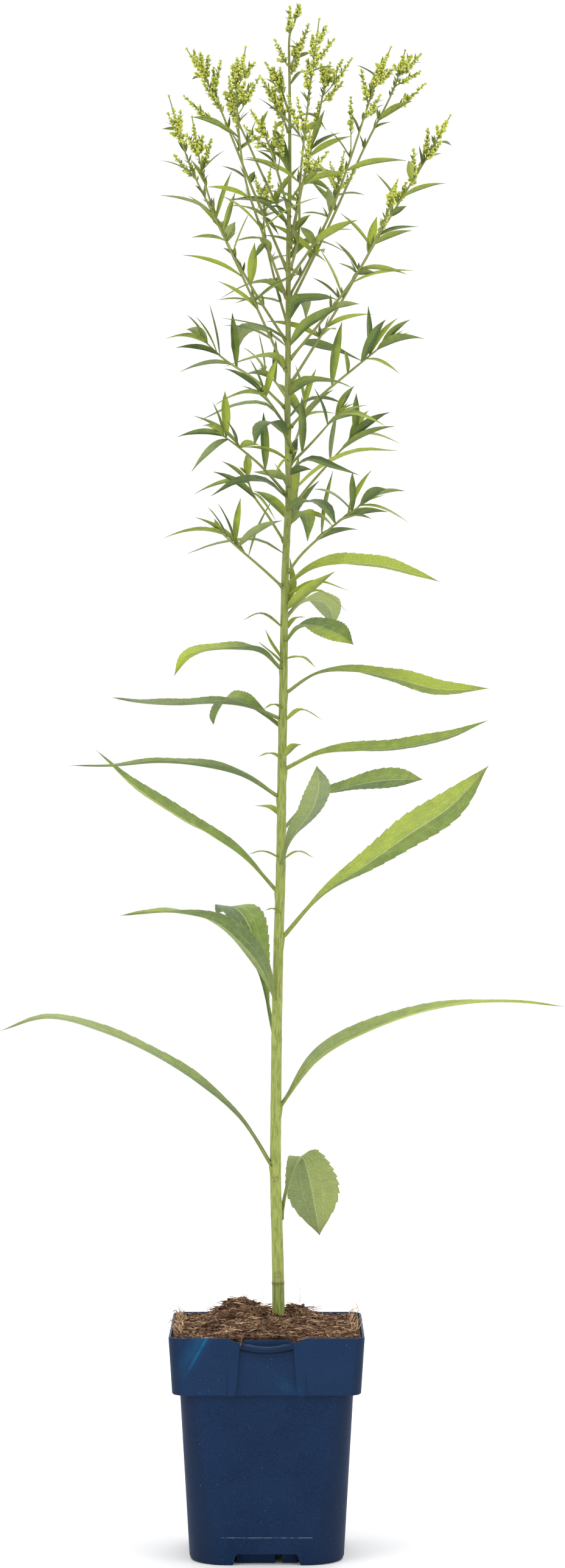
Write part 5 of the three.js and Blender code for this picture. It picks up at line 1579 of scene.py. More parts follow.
class Skin:
    """Collects the faces of a grown piece, with a surface place and a tone for each point."""

    def __init__(self) -> None:
        """Starts empty."""
        self.points: list[Array] = []
        self.places: list[Array] = []
        self.tones: list[Array] = []
        self.faces: list[Sequence[int]] = []
        self.coats: list[int] = []
        self.count = 0

    def add(self, points: Array, places: Array, tones: Array, faces: list, coat: Coat) -> None:
        """Adds points with their places, tones and faces.

        Args:
            points: one point in each row.
            places: their own places on the surface.
            tones: their tones.
            faces: the corners of each face.
            coat: its finish.
        """
        self.faces += (np.asarray(f) + self.count for f in faces)
        self.coats += [coat.value] * len(faces)
        self.points.append(points.reshape(-1, 3))
        self.places.append(places.reshape(-1, 2))
        self.tones.append(tones.reshape(-1, 3))
        self.count += len(self.points[-1])

    def add_rings(self, rings: Array, places: Array, tones: Array, coat: Coat) -> None:
        """Adds a closed skin over rings that run from the first end to the last.

        Args:
            rings: points by ring, counted left about the direction.
            places: place on the surface of each point.
            tones: tone of each point.
            coat: the finish.
        """
        count, sides = rings.shape[:2]
        lower = np.arange((count - 1) * sides)
        side = lower % sides
        after = lower - side + (side + 1) % sides
        faces = list(np.stack([lower, after, after + sides, lower + sides], axis=1))
        faces.append(np.arange(sides)[::-1])
        faces.append(np.arange(sides) + (count - 1) * sides)
        self.add(rings, places, tones, faces, coat)

    def build(self, name: str, finishes: Sequence[Material], smooth_angle: float = 40) -> Piece:
        """Makes the piece.

        Args:
            name: its name.
            finishes: its materials, by coat.
            smooth_angle: up to which angle its edges are smooth, in degrees.

        Returns:
            The new object.
        """
        mesh = bpy.data.meshes.new(name)
        points = np.vstack(self.points) * MM
        mesh.from_pydata(points.tolist(), [], [face.tolist() for face in self.faces])
        used = sorted(set(self.coats))
        for coat in used:
            mesh.materials.append(finishes[coat])
        mesh.polygons.foreach_set("material_index", [used.index(coat) for coat in self.coats])
        corners = np.zeros(len(mesh.loops), int)
        mesh.loops.foreach_get("vertex_index", corners)
        layer = mesh.uv_layers.new(name="surface")
        layer.data.foreach_set("uv", np.vstack(self.places)[corners].ravel())
        tones = np.hstack([np.vstack(self.tones), np.ones((self.count, 1))])
        mesh.color_attributes.new("tone", "FLOAT_COLOR", "POINT").data.foreach_set("color", tones.ravel())
        piece = bpy.data.objects.new(name, mesh)
        bpy.context.scene.collection.objects.link(piece)
        choose(piece)
        bpy.ops.object.shade_smooth_by_angle(angle=math.radians(smooth_angle))
        return piece


def choose(piece: Piece) -> None:
    """Selects one object alone."""
    bpy.ops.object.select_all(action="DESELECT")
    piece.select_set(True)
    bpy.context.view_layer.objects.active = piece


def hand_over(piece: Piece, slot: str, *nodes: str) -> None:
    """Lets a piece ride on the part and stand for nodes.

    Args:
        piece: the finished piece.
        slot: not used.
        nodes: the nodes that it stands for.
    """
    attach(piece, BODY)
    if nodes:
        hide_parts(*nodes)
    log.info("%s: %d faces", piece.name, len(piece.data.polygons))


@dataclass(frozen=True)
class BladeForm:
    """How a blade is modelled."""

    lanes: tuple[float, ...]
    stations: int
    fold: float
    thick: float
    thin: float
    root_fold: float = 0.3
    root_thick: float = 0.7
    grooves: tuple[Pair, ...] = ()
    teeth: int = 0
    tooth: float = 0.0
    wave: float = 0.0


LARGE_LANES = (1.0, 0.9, 0.72, 0.55, 0.44, 0.38, 0.32, 0.22, 0.1, 0.045)
LARGE_FORM = BladeForm(
    lanes=LARGE_LANES, stations=0, fold=0.18, thick=0.75, thin=0.22, root_fold=0.5, root_thick=1.7,
    grooves=((0.0, 0.28), (0.38, 0.12)), teeth=20, tooth=0.09, wave=0.55,
)
SMALL_FORM = BladeForm(lanes=(1.0, 0.5), stations=9, fold=0.16, thick=0.7, thin=0.25)
TINY_FORM = BladeForm(lanes=(1.0,), stations=5, fold=0.25, thick=0.4, thin=0.2)
TOOTH_STEPS = (0.0, 0.5, 0.84, 0.97)
GROOVE_WIDTH = 0.05
UNDERSIDE_GREY = 0.18
PAINTED_HALF_LIGHT = 0.2
TIP_SLENDER = 0.45


def add_blade(skin: Skin, blade: Blade, form: BladeForm, draw: Draw, sink: float = 0.0) -> None:
    """Adds a closed leaf blade to a skin.

    Args:
        skin: where it is added.
        blade: its middle line, width and tones.
        form: how it is modelled.
        draw: gives chance values.
        sink: how far its root reaches back into its stem, as a share of the way.
    """
    if form.teeth:
        at = np.array([(k + step) / form.teeth for k in range(form.teeth) for step in TOOTH_STEPS])
    else:
        at = np.arange(form.stations) / form.stations
    at = np.append(at, 0.996)
    if sink:
        at = np.append(-sink, at)
    centres, across, above, halves = blade.frames(at)
    slender = TIP_SLENDER * np.clip((at - blade.widest) / (1 - blade.widest), 0, 1)
    halves = np.maximum(halves * np.clip(2 * halves / blade.width, 0.001, 1) ** slender, 0.12)
    fold = np.interp(at, (0.0, 0.3, 0.65), (form.root_fold, form.root_fold, form.fold))[:, None]
    thick = np.interp(at, (0.0, 0.1, 0.5), (form.root_thick, form.root_thick * 0.9, form.thick))[:, None]
    thin = np.interp(at, (0.0, 0.3), (form.root_thick * 0.6, form.thin))[:, None]
    if form.teeth:
        saw = (at * form.teeth) % 1 - 0.5
        reach = np.interp(at, (0.22, 0.42, 0.9, 1.0), (0, 1, 0.8, 0))
        halves = halves * (1 + form.tooth * saw * reach)
    lanes = np.array(form.lanes)
    upper = np.concatenate([-lanes, [0.0], lanes[::-1]])
    under = upper[1:-1][::-1]
    phase = draw() * 6
    swing = form.wave * np.sin(at * 19 + phase) * np.sin(math.pi * np.clip(at, 0, 1))
    sway = form.wave * np.cos(at * 15 + phase * 1.7) * np.sin(math.pi * np.clip(at, 0, 1))

    def lift(row: Array) -> Array:
        """Gives the height of the middle of the blade's thickness over its keel line."""
        edge = np.where(row[None] > 0, swing[:, None], sway[:, None])
        return halves[:, None] * fold * np.abs(row) + edge * row[None] ** 2

    def body(row: Array) -> Array:
        """Gives half the thickness across the blade."""
        full = mix(thick, thin, np.minimum(1, np.abs(row) * 1.6)) * np.where(np.abs(row) > 0.99, 0, 1)
        slim = np.minimum(1, halves[:, None] / 1.2)
        return full / 2 * slim

    def relief(row: Array) -> Array:
        """Gives the depth of the veins' grooves."""
        depth = np.zeros(len(row))
        for place, deep in form.grooves:
            depth += deep * np.exp(-(((np.abs(row) - place) / GROOVE_WIDTH) ** 2))
        return depth[None] * np.minimum(1, halves[:, None] / 3)

    top = lift(upper) + body(upper) - relief(upper)
    low = lift(under) - body(under) - relief(under)
    order = [(upper[-1:], top[:, -1:]), (under, low), (upper[:-1], top[:, :-1])]
    row = np.concatenate([part for part, _ in order])
    heights = np.concatenate([part for _, part in order], axis=1)
    rings = centres[:, None] + across[:, None] * (halves[:, None] * row)[..., None]
    rings = rings + above[:, None] * heights[..., None]
    places = np.empty((*heights.shape, 2))
    places[..., 0] = (row + 1) / 2
    places[..., 1] = np.clip(at, 0, 1)[:, None]
    tones = np.empty((*heights.shape, 3))
    tones[..., 0] = mix(blade.tone[0], blade.tip_tone[0], np.clip(at * 1.6 - 0.3, 0, 1))[:, None]
    # painted light: one half of each blade is lighter and the other darker, as if lit from one side
    tones[..., 0] += PAINTED_HALF_LIGHT * np.clip(row * 8, -1, 1)
    grey = mix(blade.tone[1], blade.tip_tone[1], np.clip(at * 1.6 - 0.3, 0, 1))[:, None]
    below = np.zeros(len(row))
    below[1 : 1 + len(under)] = 1
    tones[..., 1] = np.maximum(grey, below * UNDERSIDE_GREY)
    tones[..., 2] = draw()
    skin.add_rings(rings, places, tones, Coat.BLADE)


def add_rod(
    skin: Skin, curve: Curve, at: Array, radii: Array, sides: int, tones: Array, ribs: float = 0.0
) -> None:
    """Adds a round rod to a skin.

    Args:
        skin: where it is added.
        curve: its middle line.
        at: shares of the way where it has rings.
        radii: its radius at each ring.
        sides: how many sides it has.
        tones: tone of each ring.
        ribs: depth of its ribs, as a share of its radius.
    """
    along = curve.tangents(at)
    side = square_to(np.broadcast_to(np.array([1.0, 0, 0]), along.shape), along)
    other = np.cross(along, side)
    angles = np.arange(sides) / sides * 2 * math.pi
    ribbed = 1 + ribs * np.cos(angles * 8)
    spread = radii[:, None] * ribbed[None]
    rings = curve.points(at)[:, None] + spread[..., None] * (
        side[:, None] * np.cos(angles)[None, :, None] + other[:, None] * np.sin(angles)[None, :, None]
    )
    places = np.empty((len(at), sides, 2))
    places[..., 0] = np.abs(2 * np.arange(sides) / sides - 1)
    places[..., 1] = (at * curve.length() / 20)[:, None]
    skin.add_rings(rings, places, np.repeat(tones[:, None], sides, axis=1), Coat.STALK)


# One closed bud along +Z: heights and radii of its rings, and its sides
BUD_RINGS = ((0.0, 0.12), (0.28, 0.33), (0.6, 0.37), (0.88, 0.23), (1.0, 0.05))
BUD_SIDES = 6


def bud_shape() -> tuple[Array, list[Array], Array]:
    """Makes the points, faces and shades of one bud of length 1."""
    angles = np.arange(BUD_SIDES) / BUD_SIDES * 2 * math.pi
    circle = np.stack([np.cos(angles), np.sin(angles)], axis=1)
    rings = [np.column_stack([r * circle, np.full(BUD_SIDES, h)]) for h, r in BUD_RINGS]
    faces = []
    for ring in range(len(BUD_RINGS) - 1):
        for i in range(BUD_SIDES):
            a = ring * BUD_SIDES + i
            b = ring * BUD_SIDES + (i + 1) % BUD_SIDES
            faces.append(np.array([a, b, b + BUD_SIDES, a + BUD_SIDES]))
    faces.append(np.arange(BUD_SIDES)[::-1])
    faces.append(np.arange(BUD_SIDES) + (len(BUD_RINGS) - 1) * BUD_SIDES)
    shades = np.repeat([h for h, _ in BUD_RINGS], BUD_SIDES)
    return np.vstack(rings), faces, shades


BUD = bud_shape()


def add_bud(skin: Skin, root: Array, axis: Array, length: float, chance: float) -> None:
    """Adds one bud.

    Args:
        skin: where it is added.
        root: its foot.
        axis: its direction.
        length: its length.
        chance: its chance value, for its shade.
    """
    points, faces, shades = BUD
    side = np.cross(axis, [0.0, 1.0, 0.0] if abs(axis[1]) < 0.9 else [1.0, 0.0, 0.0])
    side /= np.linalg.norm(side)
    turn = np.stack([side, np.cross(axis, side), axis])
    tones = np.stack([shades, np.zeros(len(shades)), np.full(len(shades), chance)], axis=1)
    skin.add(root + points * length @ turn, np.zeros((len(points), 2)), tones, faces, Coat.BUD)


def side_place(curve: Curve, at: float, angle: float) -> tuple[Array, Array, Array]:
    """Finds a place on a line with a direction aside.

    Args:
        curve: the line.
        at: share of the way.
        angle: turn about the line.

    Returns:
        The place, the direction along the line and the direction aside.
    """
    along = curve.tangents(np.array([at]))[0]
    side = square_to(np.array([1.0, 0, 0]), along)
    return curve.point(at), along, side * math.cos(angle) + np.cross(along, side) * math.sin(angle)


@dataclass(frozen=True)
class Raceme:
    """The rule of a bud cluster on the last millimetres of a line: side heads of a few buds each."""

    heads: int = 13
    length: float = 18.0
    stalk: Pair = (2.2, 0.5)
    buds: tuple[int, int] = (4, 3)
    side_sprays: int = 1
    bud_length: Pair = (1.7, 1.25)
    bracts: int = 9
    bract_length: float = 4.6

    def add(self, skin: Skin, curve: Curve, draw: Draw) -> None:
        """Adds the heads and bracts along the end of a line.

        Args:
            skin: where they are added.
            curve: the line.
            draw: gives chance values.
        """
        start = max(0.12, 1 - self.length / curve.length())
        turned = draw() * 6
        for k in range(self.heads):
            share = (k + draw() * 0.7) / self.heads
            angle = turned + k * GOLDEN_ANGLE + draw() * 0.6
            side = SIDE_SPRAY if k < 2 * self.side_sprays and k % 2 else 1.0
            self.add_head(skin, side_place(curve, mix(start, 0.96, share), angle), share, side, draw)
        for k in range(4):
            tip, along, out = side_place(curve, 1.0, turned + k * GOLDEN_ANGLE)
            axis = unit(along + out * 0.5 * min(k, 1))
            add_bud(skin, tip - along * 0.5, axis, self.bud_length[1] * 1.15, draw())
        for k in range(self.bracts):
            at = mix(start * 0.85, 0.8, (k + 0.5 * draw()) / self.bracts)
            root, along, out = side_place(curve, at, turned + k * 2.4 + 1)
            length = self.bract_length * mix(0.5, 1.3, draw())
            bract = arched_blade(root, root + (out * 0.6 + along * 0.7) * length, 1.1, 0.1, 0)
            bract.tone = bract.tip_tone = (Tone.MID if k % 2 else Tone.BRIGHT).value
            add_blade(skin, bract, TINY_FORM, draw)

    def add_head(self, skin: Skin, place: tuple, share: float, side: float, draw: Draw) -> None:
        """Adds one side head: a short stalk with its buds.

        Args:
            skin: where it is added.
            place: its root, the direction along the line and the direction aside.
            share: how far up the cluster it stands.
            side: how many times as long as a plain head it is.
            draw: gives chance values.
        """
        root, along, out = place
        heading = unit(out * mix(1.0, 0.5, share) + along * 0.9 + Z_AXIS * 0.3)
        reach = mix(self.stalk[0], self.stalk[1], share) * mix(0.6, 1.3, draw()) * side
        stalk = Arc(root, root + heading * (reach * 0.5) + out * 0.2, root + heading * reach)
        add_rod(skin, stalk, np.arange(3) / 2, np.full(3, 0.2), 4, np.tile([0.6, 0.0, 0.1], (3, 1)))
        count = round(mix(self.buds[0], self.buds[1], share) * side**0.8)
        for j in range(count):
            up = mix(0.3, 1.0, (j + draw() * 0.5) / count)
            spot, _, aside = side_place(stalk, up, j * GOLDEN_ANGLE + draw())
            axis = unit(heading * 0.9 + aside * mix(1.1, 0.4, up))
            length = mix(self.bud_length[0], self.bud_length[1], share) * mix(0.75, 1.2, draw())
            add_bud(skin, spot + aside * 0.15, axis, length, draw())


SIDE_SPRAY = 2.6
SPRAY = Raceme()
BRANCH_END = Raceme(heads=20, length=27.0, stalk=(2.3, 0.5), side_sprays=4, bracts=16)
LEAFLETS = 2
LEAFLET_LENGTH = (4.5, 9.0)
TWIG_SLENDER = 0.84
BRANCH_YOUNG = 0.2


LEAF_SEED = 101
SHOOT_SEED = 201
BRANCH_SEED = 301
STEM_SEED = 401
TWIG_SUNK = -0.02
TWIG_RIBS = 0.05
LEAFLET_WIDTH = 1.7
LEAFLET_ARCH = 0.06
HEART_LEAVES = 6
HEART_AT = 0.98
HEART_LENGTH = (11, 6)
HEART_SPREAD = (4.0, 1.2)
HEART_WIDTH = (2.6, 1.6)
HEART_ARCH = 0.05


class GrownPiece(ABC):
    """A piece that grows from the plan and stands for one node."""

    slot = "stem"

    def __init__(self, growth: Growth, seed: int, finishes: Sequence[Material]) -> None:
        """Keeps what it is made from.

        Args:
            growth: what the plan grows in its node.
            seed: starts its draws.
            finishes: its materials, for blades, stalks and buds.
        """
        self.growth = growth
        self.draw = seeded_draws(seed)
        self.finishes = finishes
        self.skin = Skin()

    @abstractmethod
    def model(self) -> None:
        """Models the piece."""

    def make(self) -> None:
        """Models the piece and hands it over."""
        self.model()
        piece = self.skin.build(f"{self.growth.name}_grown", self.finishes)
        hand_over(piece, self.slot, self.growth.name)

    def add_blades(self, young: float = 0.0) -> None:
        """Adds all blades, brighter by how young they are."""
        for blade in self.growth.blades:
            blade.tone, blade.tip_tone = ((t[0] + young, t[1]) for t in (blade.tone, blade.tip_tone))
            add_blade(self.skin, blade, SMALL_FORM, self.draw)

    def add_sprays(self) -> None:
        """Adds the bud sprays with their stalks."""
        for arc in self.growth.sprays:
            at = np.arange(9) / 8
            tones = np.tile([0.62, 0.0, 0.15], (9, 1))
            add_rod(self.skin, arc, at, np.interp(at, (0, 1), (0.42, 0.22)), 5, tones)
            SPRAY.add(self.skin, arc, self.draw)

    def add_twig(self, radii: Pair, olive: float) -> None:
        """Adds the twig.

        Args:
            radii: its radius at root and tip.
            olive: how olive-brown it is.
        """
        at = np.append(TWIG_SUNK, np.arange(41) / 40)
        root, end = radii[0] * TWIG_SLENDER, radii[1] * TWIG_SLENDER
        sizes = (radii[0] * 1.5, radii[0] * 1.2, root, mix(root, end, 0.6), end * 0.7)
        rings = np.interp(at, (TWIG_SUNK, 0.0, 0.03, 0.6, 1.0), sizes)
        tones = np.tile([0.64, 0.0, olive], (len(at), 1))
        add_rod(self.skin, self.growth.twig, at, rings, 9, tones, TWIG_RIBS)


class MainStem(GrownPiece):
    """The main stem with its ribs, knots, small leaves and top buds."""

    scar_height: float = 153.0
    cushion: float = 0.5
    rings: int = 300
    sides: int = 32
    ribs: float = 0.045
    green_heights: Sequence[float] = (128, 152, 154, 200, 500, 700, 880)
    greens: Sequence[float] = (0.2, 0.45, 0.62, 0.64, 0.56, 0.58, 0.56)

    def model(self) -> None:
        """Models the stem."""
        at = np.arange(self.rings + 1) / self.rings
        scar_at = np.interp(self.scar_height, STEM_CURVE.points(at)[:, 2], at)
        at = np.unique(np.concatenate((at, scar_at + np.arange(-8, 9) * 0.4 / STEM_CURVE.length())))
        heights = STEM_CURVE.points(at)[:, 2]
        radii = stem_radii(heights)
        for root in self.growth.roots:
            radii = radii + radii * 0.05 * np.exp(-(((heights - root[2] + 1) / 2.2) ** 2))
        scar = np.exp(-(((heights - self.scar_height) / 0.8) ** 2))
        radii = radii + scar * 0.22
        tones = np.zeros((len(at), 3))
        tones[:, 0] = np.interp(heights, self.green_heights, self.greens)
        tones[:, 1] = scar * 0.8
        tones[:, 2] = np.interp(heights, (500, 700, 880), (0.0, 0.35, 0.4))
        add_rod(self.skin, STEM_CURVE, at, radii, self.sides, tones, self.ribs)
        for root in self.growth.roots:
            self.add_cushion(root)
        self.add_blades()
        self.add_sprays()

    def add_cushion(self, root: Array) -> None:
        """Adds the ridge that runs down the stem from the foot of a leaf or twig.

        Args:
            root: where the leaf or twig grows.
        """
        heights = root[2] - np.array([-0.8, 2.5, 9.0])
        middles = stem_middles(heights)
        radii = stem_radii(heights)
        out = root - middles[0]
        out[2] = 0
        out = unit(out)
        top, middle, foot = (m + out * r for m, r in zip(middles, radii * np.array([0.82, 1.02, 0.9])))
        at = np.arange(9) / 8
        size = self.cushion * radii[0]
        tones = np.tile([0.66, 0.0, 0.0], (9, 1))
        rings = size * np.interp(at, (0, 0.3, 1), (1, 0.85, 0.2))
        add_rod(self.skin, Arc(top, middle, foot), at, rings, 8, tones)


class LeafyShoot(GrownPiece):
    """A side shoot that ends in a rosette of small leaves."""

    slot = "shoot"

    def model(self) -> None:
        """Models the shoot."""
        self.add_twig(SHOOT_RADIUS, 0.2)
        self.add_blades()
        for k in range(HEART_LEAVES):
            end, along, out = side_place(self.growth.twig, HEART_AT, k * GOLDEN_ANGLE)
            share = k / (HEART_LEAVES - 1)
            tip = end + along * mix(*HEART_LENGTH, share) + out * mix(*HEART_SPREAD, share)
            young = arched_blade(end, tip, mix(*HEART_WIDTH, share), HEART_ARCH, tone=Tone.BRIGHT)
            add_blade(self.skin, young, SMALL_FORM, self.draw)


class FlowerBranch(GrownPiece):
    """A flowering branch with narrow leaves and racemes of buds."""

    slot = "flower_branch"

    def model(self) -> None:
        """Models the branch."""
        self.add_twig(BRANCH_RADIUS, 0.3 + 0.3 * self.draw())
        self.add_blades(young=BRANCH_YOUNG)
        self.add_leaflets()
        self.add_sprays()
        BRANCH_END.add(self.skin, self.growth.twig, self.draw)

    def add_leaflets(self) -> None:
        """Adds the young leaves that stand in the axils of the others."""
        for blade in self.growth.blades:
            root = blade.curve.point(0)
            out = unit(blade.curve.point(1) - root)
            for k in range(LEAFLETS):
                length = mix(*LEAFLET_LENGTH, self.draw())
                lean = np.array([self.draw() - 0.5, self.draw() - 0.5, 0.0]) * 0.8
                tip = root + unit(Z_AXIS * 0.9 + out * (0.2 + 0.4 * k) + lean) * length
                tone = Tone.BRIGHT if k else Tone.MID
                leaflet = arched_blade(root, tip, LEAFLET_WIDTH, LEAFLET_ARCH, tone=tone)
                add_blade(self.skin, leaflet, TINY_FORM, self.draw)


class SingleLeaf(GrownPiece):
    """One large leaf of the lower stem."""

    slot = "leaf"

    def model(self) -> None:
        """Models the leaf."""
        tail = self.growth.twig
        sink = tail.start / (1 - tail.start) * 0.7
        add_blade(self.skin, self.growth.blades[0], LARGE_FORM, self.draw, sink)


def in_edit(piece: Piece) -> None:
    """Opens a piece in edit mode with all of it selected."""
    choose(piece)
    bpy.ops.object.mode_set(mode="EDIT")
    bpy.ops.mesh.select_all(action="SELECT")


def close_up(piece: Piece) -> None:
    """Turns all faces of a piece in edit mode outward and leaves edit mode."""
    bpy.ops.mesh.select_all(action="SELECT")
    bpy.ops.mesh.normals_make_consistent(inside=False)
    bpy.ops.object.mode_set(mode="OBJECT")
    piece.location = (0, 0, 0)


def prism(outline: Sequence[Vector], push: Vector) -> Piece:
    """Makes a closed block from a flat outline.

    Args:
        outline: its corners in millimetres.
        push: how far the outline is pushed.

    Returns:
        The block.
    """
    bpy.ops.mesh.primitive_circle_add(vertices=len(outline), fill_type="NGON")
    block = bpy.context.object
    for vertex, corner in zip(block.data.vertices, outline):
        vertex.co = corner * MM
    in_edit(block)
    bpy.ops.mesh.extrude_region_move(TRANSFORM_OT_translate={"value": push * MM})
    close_up(block)
    return block


def combine(piece: Piece, other: Piece, operation: str) -> None:
    """Joins or cuts one piece with another, which is used up.

    Args:
        piece: the piece that stays.
        other: the piece that is used up.
        operation: UNION or DIFFERENCE.
    """
    modifier = piece.modifiers.new("combine", "BOOLEAN")
    modifier.object = other
    modifier.operation = operation
    modifier.solver = "EXACT"
    choose(piece)
    bpy.ops.object.modifier_apply(modifier="combine")
    bpy.data.objects.remove(other)


def arc_points(start: Vector, middle: Vector, end: Vector, steps: int) -> list[Vector]:
    """Gives the points of an even bend from a start over a middle place to an end.

    Args:
        start: where the bend starts.
        middle: the place that pulls it.
        end: where it ends.
        steps: how many parts it has.

    Returns:
        The points in order.
    """
    points = []
    for k in range(steps + 1):
        t = k / steps
        points.append((1 - t) ** 2 * start + 2 * (1 - t) * t * middle + t**2 * end)
    return points


@dataclass
class Pot:
    """The square nursery pot, with its skirt, recessed panel, dipped rim, lip, notches and feet."""

    height: float = 129.0
    rim_half: float = 55.0
    skirt_half: float = 53.0
    skirt_z: float = 96.7
    body_half: float = 48.8
    base_half: float = 43.75
    wall: float = 1.6
    floor_z: float = 8.1
    notch_height: float = 6.5
    notch_half: float = 18.6
    notch_flare: float = 1.6
    foot_half: float = 11.0
    well_offset: float = 29.0
    drain_radius: float = 4.5
    drain_offset: float = 27.0
    panel_half: float = 15.1
    panel_foot_half: float = 16.7
    panel_round: float = 3.2
    panel_back_half: float = 21.6
    panel_top: float = 123.4
    panel_depth: float = 1.9
    panel_back: float = -49.2
    dip_z: float = 126.6
    dip_half: float = 16.0
    dip_spread: float = 7.5
    lip_bulge: float = 6.2
    lip_height: float = 2.6
    lip_step: float = 0.45
    lip_dip: float = 1.5
    lip_wall: float = 1.3
    crest_z: float = 127.8
    crest_half: float = 12.4
    slot_inset: float = 3.5
    slot_rise: float = 0.8
    slot_depth: float = 2.2
    rib_half: float = 0.5
    well_half: float = 8.0
    inner_blocks: tuple[Pair, ...] = ((-17.0, 4.6), (8.8, 16.6))
    inner_block_y: Pair = (-36.5, -33.5)
    corner_steps: int = 9
    bend_steps: int = 7
    lip_steps: int = 14
    drain_sides: int = 24
    soft_edge: float = 0.45

    def ring(self, half: float, corner: float, z: float) -> list[Vector]:
        """Gives a square outline with round corners at a height.

        Args:
            half: its half width.
            corner: its corner radius.
            z: its height.

        Returns:
            Its points in order.
        """
        points = []
        for quarter in range(4):
            middle = (quarter + 0.5) * math.pi / 2
            cx = math.copysign(half - corner, math.cos(middle))
            cy = math.copysign(half - corner, math.sin(middle))
            for i in range(self.corner_steps + 1):
                angle = (quarter + i / self.corner_steps) * math.pi / 2
                points.append(Vector((cx + corner * math.cos(angle), cy + corner * math.sin(angle), z)))
        return points

    def shell(self) -> Piece:
        """Draws the shell up its outside and down its inside, ring by ring."""
        wall = self.wall
        base, body, skirt, rim = self.base_half, self.body_half, self.skirt_half, self.rim_half
        # Half width, corner and height of each ring, up the outside and down the inside
        rows = (
            (base - 1.9, 20.6, 0), (base - 0.7, 21.4, 0.55), (base, 22, 2.2),
            (body, 12, self.skirt_z + 0.3), (skirt - 0.6, 7.4, self.skirt_z), (skirt, 8, self.skirt_z + 0.6),
            (rim - 0.05, 7, self.height - 0.7), (rim - 0.5, 6.5, self.height),
            (rim - wall + 0.3, 5.7, self.height), (rim - wall, 5.4, self.height - 0.5),
            (skirt - wall, 6.4, self.skirt_z + wall), (body - wall, 10.4, self.skirt_z),
            (base + 0.4 - wall, 20.4, self.floor_z),
        )
        rings = [self.ring(*row) for row in rows]
        bpy.ops.mesh.primitive_circle_add(vertices=len(rings[0]), fill_type="NOTHING")
        shell = bpy.context.object
        for vertex, corner in zip(shell.data.vertices, rings[0]):
            vertex.co = corner * MM
        in_edit(shell)
        bpy.ops.mesh.edge_face_add()
        for ring in rings[1:]:
            bpy.ops.mesh.extrude_region_move(TRANSFORM_OT_translate={"value": (0, 0, 0)})
            bpy.ops.object.mode_set(mode="OBJECT")
            chosen = [vertex for vertex in shell.data.vertices if vertex.select]
            chosen.sort(key=lambda vertex: math.atan2(vertex.co.y, vertex.co.x))
            for vertex, corner in zip(chosen, sorted(ring, key=lambda p: math.atan2(p.y, p.x))):
                vertex.co = corner * MM
            bpy.ops.object.mode_set(mode="EDIT")
        close_up(shell)
        return shell

    def front(self, corners: Sequence[Pair], y0: float, y1: float) -> Piece:
        """Pushes a front outline in x and z along y."""
        return prism([Vector((x, y0, z)) for x, z in corners], Vector((0, y1 - y0, 0)))

    def box(self, low: Place, high: Place) -> Piece:
        """Makes a plain block between two corners."""
        corners = [(low[0], low[2]), (high[0], low[2]), (high[0], high[2]), (low[0], high[2])]
        return self.front(corners, low[1], high[1])

    def curve_xz(self, start: Pair, middle: Pair, end: Pair) -> list[Pair]:
        """Gives the corners of a bend in x and z."""
        points = arc_points(*(Vector((x, 0, z)) for x, z in (start, middle, end)), self.bend_steps)
        return [(p.x, p.z) for p in points]

    def cut_panel(self, pot: Piece) -> None:
        """Backs the panel with a block and cuts the panel's recess and the dip of the rim.

        Args:
            pot: the shell.
        """
        back = self.panel_back_half
        low = self.skirt_z + 0.02
        corners = [(-back, low), (back, low), (back, self.dip_z - 0.4), (-back, self.dip_z - 0.4)]
        combine(pot, self.front(corners, -self.rim_half + 1, self.panel_back), "UNION")
        foot = self.panel_foot_half
        turn = self.panel_round
        right = self.curve_xz((foot, low + 2 * turn), (foot, low), (foot + turn, low - 1))
        corners = [(self.panel_half, self.panel_top), *right, *[(-x, z) for x, z in reversed(right)]]
        corners.append((-self.panel_half, self.panel_top))
        recess = self.front(corners, -self.rim_half - 8, -self.skirt_half + self.panel_depth)
        lean = (self.rim_half - self.skirt_half) / (self.height - self.skirt_z)
        for vertex in recess.data.vertices:
            vertex.co.y -= lean * (vertex.co.z - self.skirt_z * MM)
        combine(pot, recess, "DIFFERENCE")
        inner = self.dip_half
        outer = inner + self.dip_spread
        slope = []
        for k in range(13):
            t = k / 12
            slope.append((mix(outer, inner, t), mix(self.height + 0.4, self.dip_z, t * t * (3 - 2 * t))))
        corners = [*slope, *[(-x, z) for x, z in reversed(slope)]]
        combine(pot, self.front(corners, -self.rim_half - 3, -self.rim_half + 9), "DIFFERENCE")
        crest = self.crest_half
        foot, foot_z = crest + 2, self.dip_z - 1.5
        corners = [(-foot, foot_z), (foot, foot_z), (crest, self.crest_z), (-crest, self.crest_z)]
        combine(pot, self.front(corners, -self.rim_half + 2.2, -self.rim_half + 3.8), "UNION")

    def add_lip(self, pot: Piece) -> None:
        """Adds the curved lip with its slot and rib.

        Args:
            pot: the shell.
        """
        half = self.panel_half
        top = self.dip_z - 0.5
        low = top - self.lip_height

        def shelf(inset: float, z: float, wall: float, rise: float) -> Piece:
            """Gives a slab with the lip's bowed front, which dips towards its middle.

            Args:
                inset: how far its ends stand in.
                z: its foot.
                wall: how far it stands back.
                rise: its height.

            Returns:
                The slab.
            """
            start = Vector((half - inset, -self.rim_half + wall, z))
            middle = Vector((0, -self.rim_half - 2 * self.lip_bulge + 2 * wall, z - 2 * self.lip_dip))
            bend = arc_points(start, middle, Vector((-start.x, start.y, z)), self.lip_steps)
            return prism(bend, Vector((0, 0, rise)))

        def backing(inset: float, z: float, depth: float, rise: float) -> Piece:
            """Gives the block that carries a slab into the panel."""
            front = -self.rim_half
            return self.box((inset - half, front - 0.02, z), (half - inset, front + depth, z + rise))

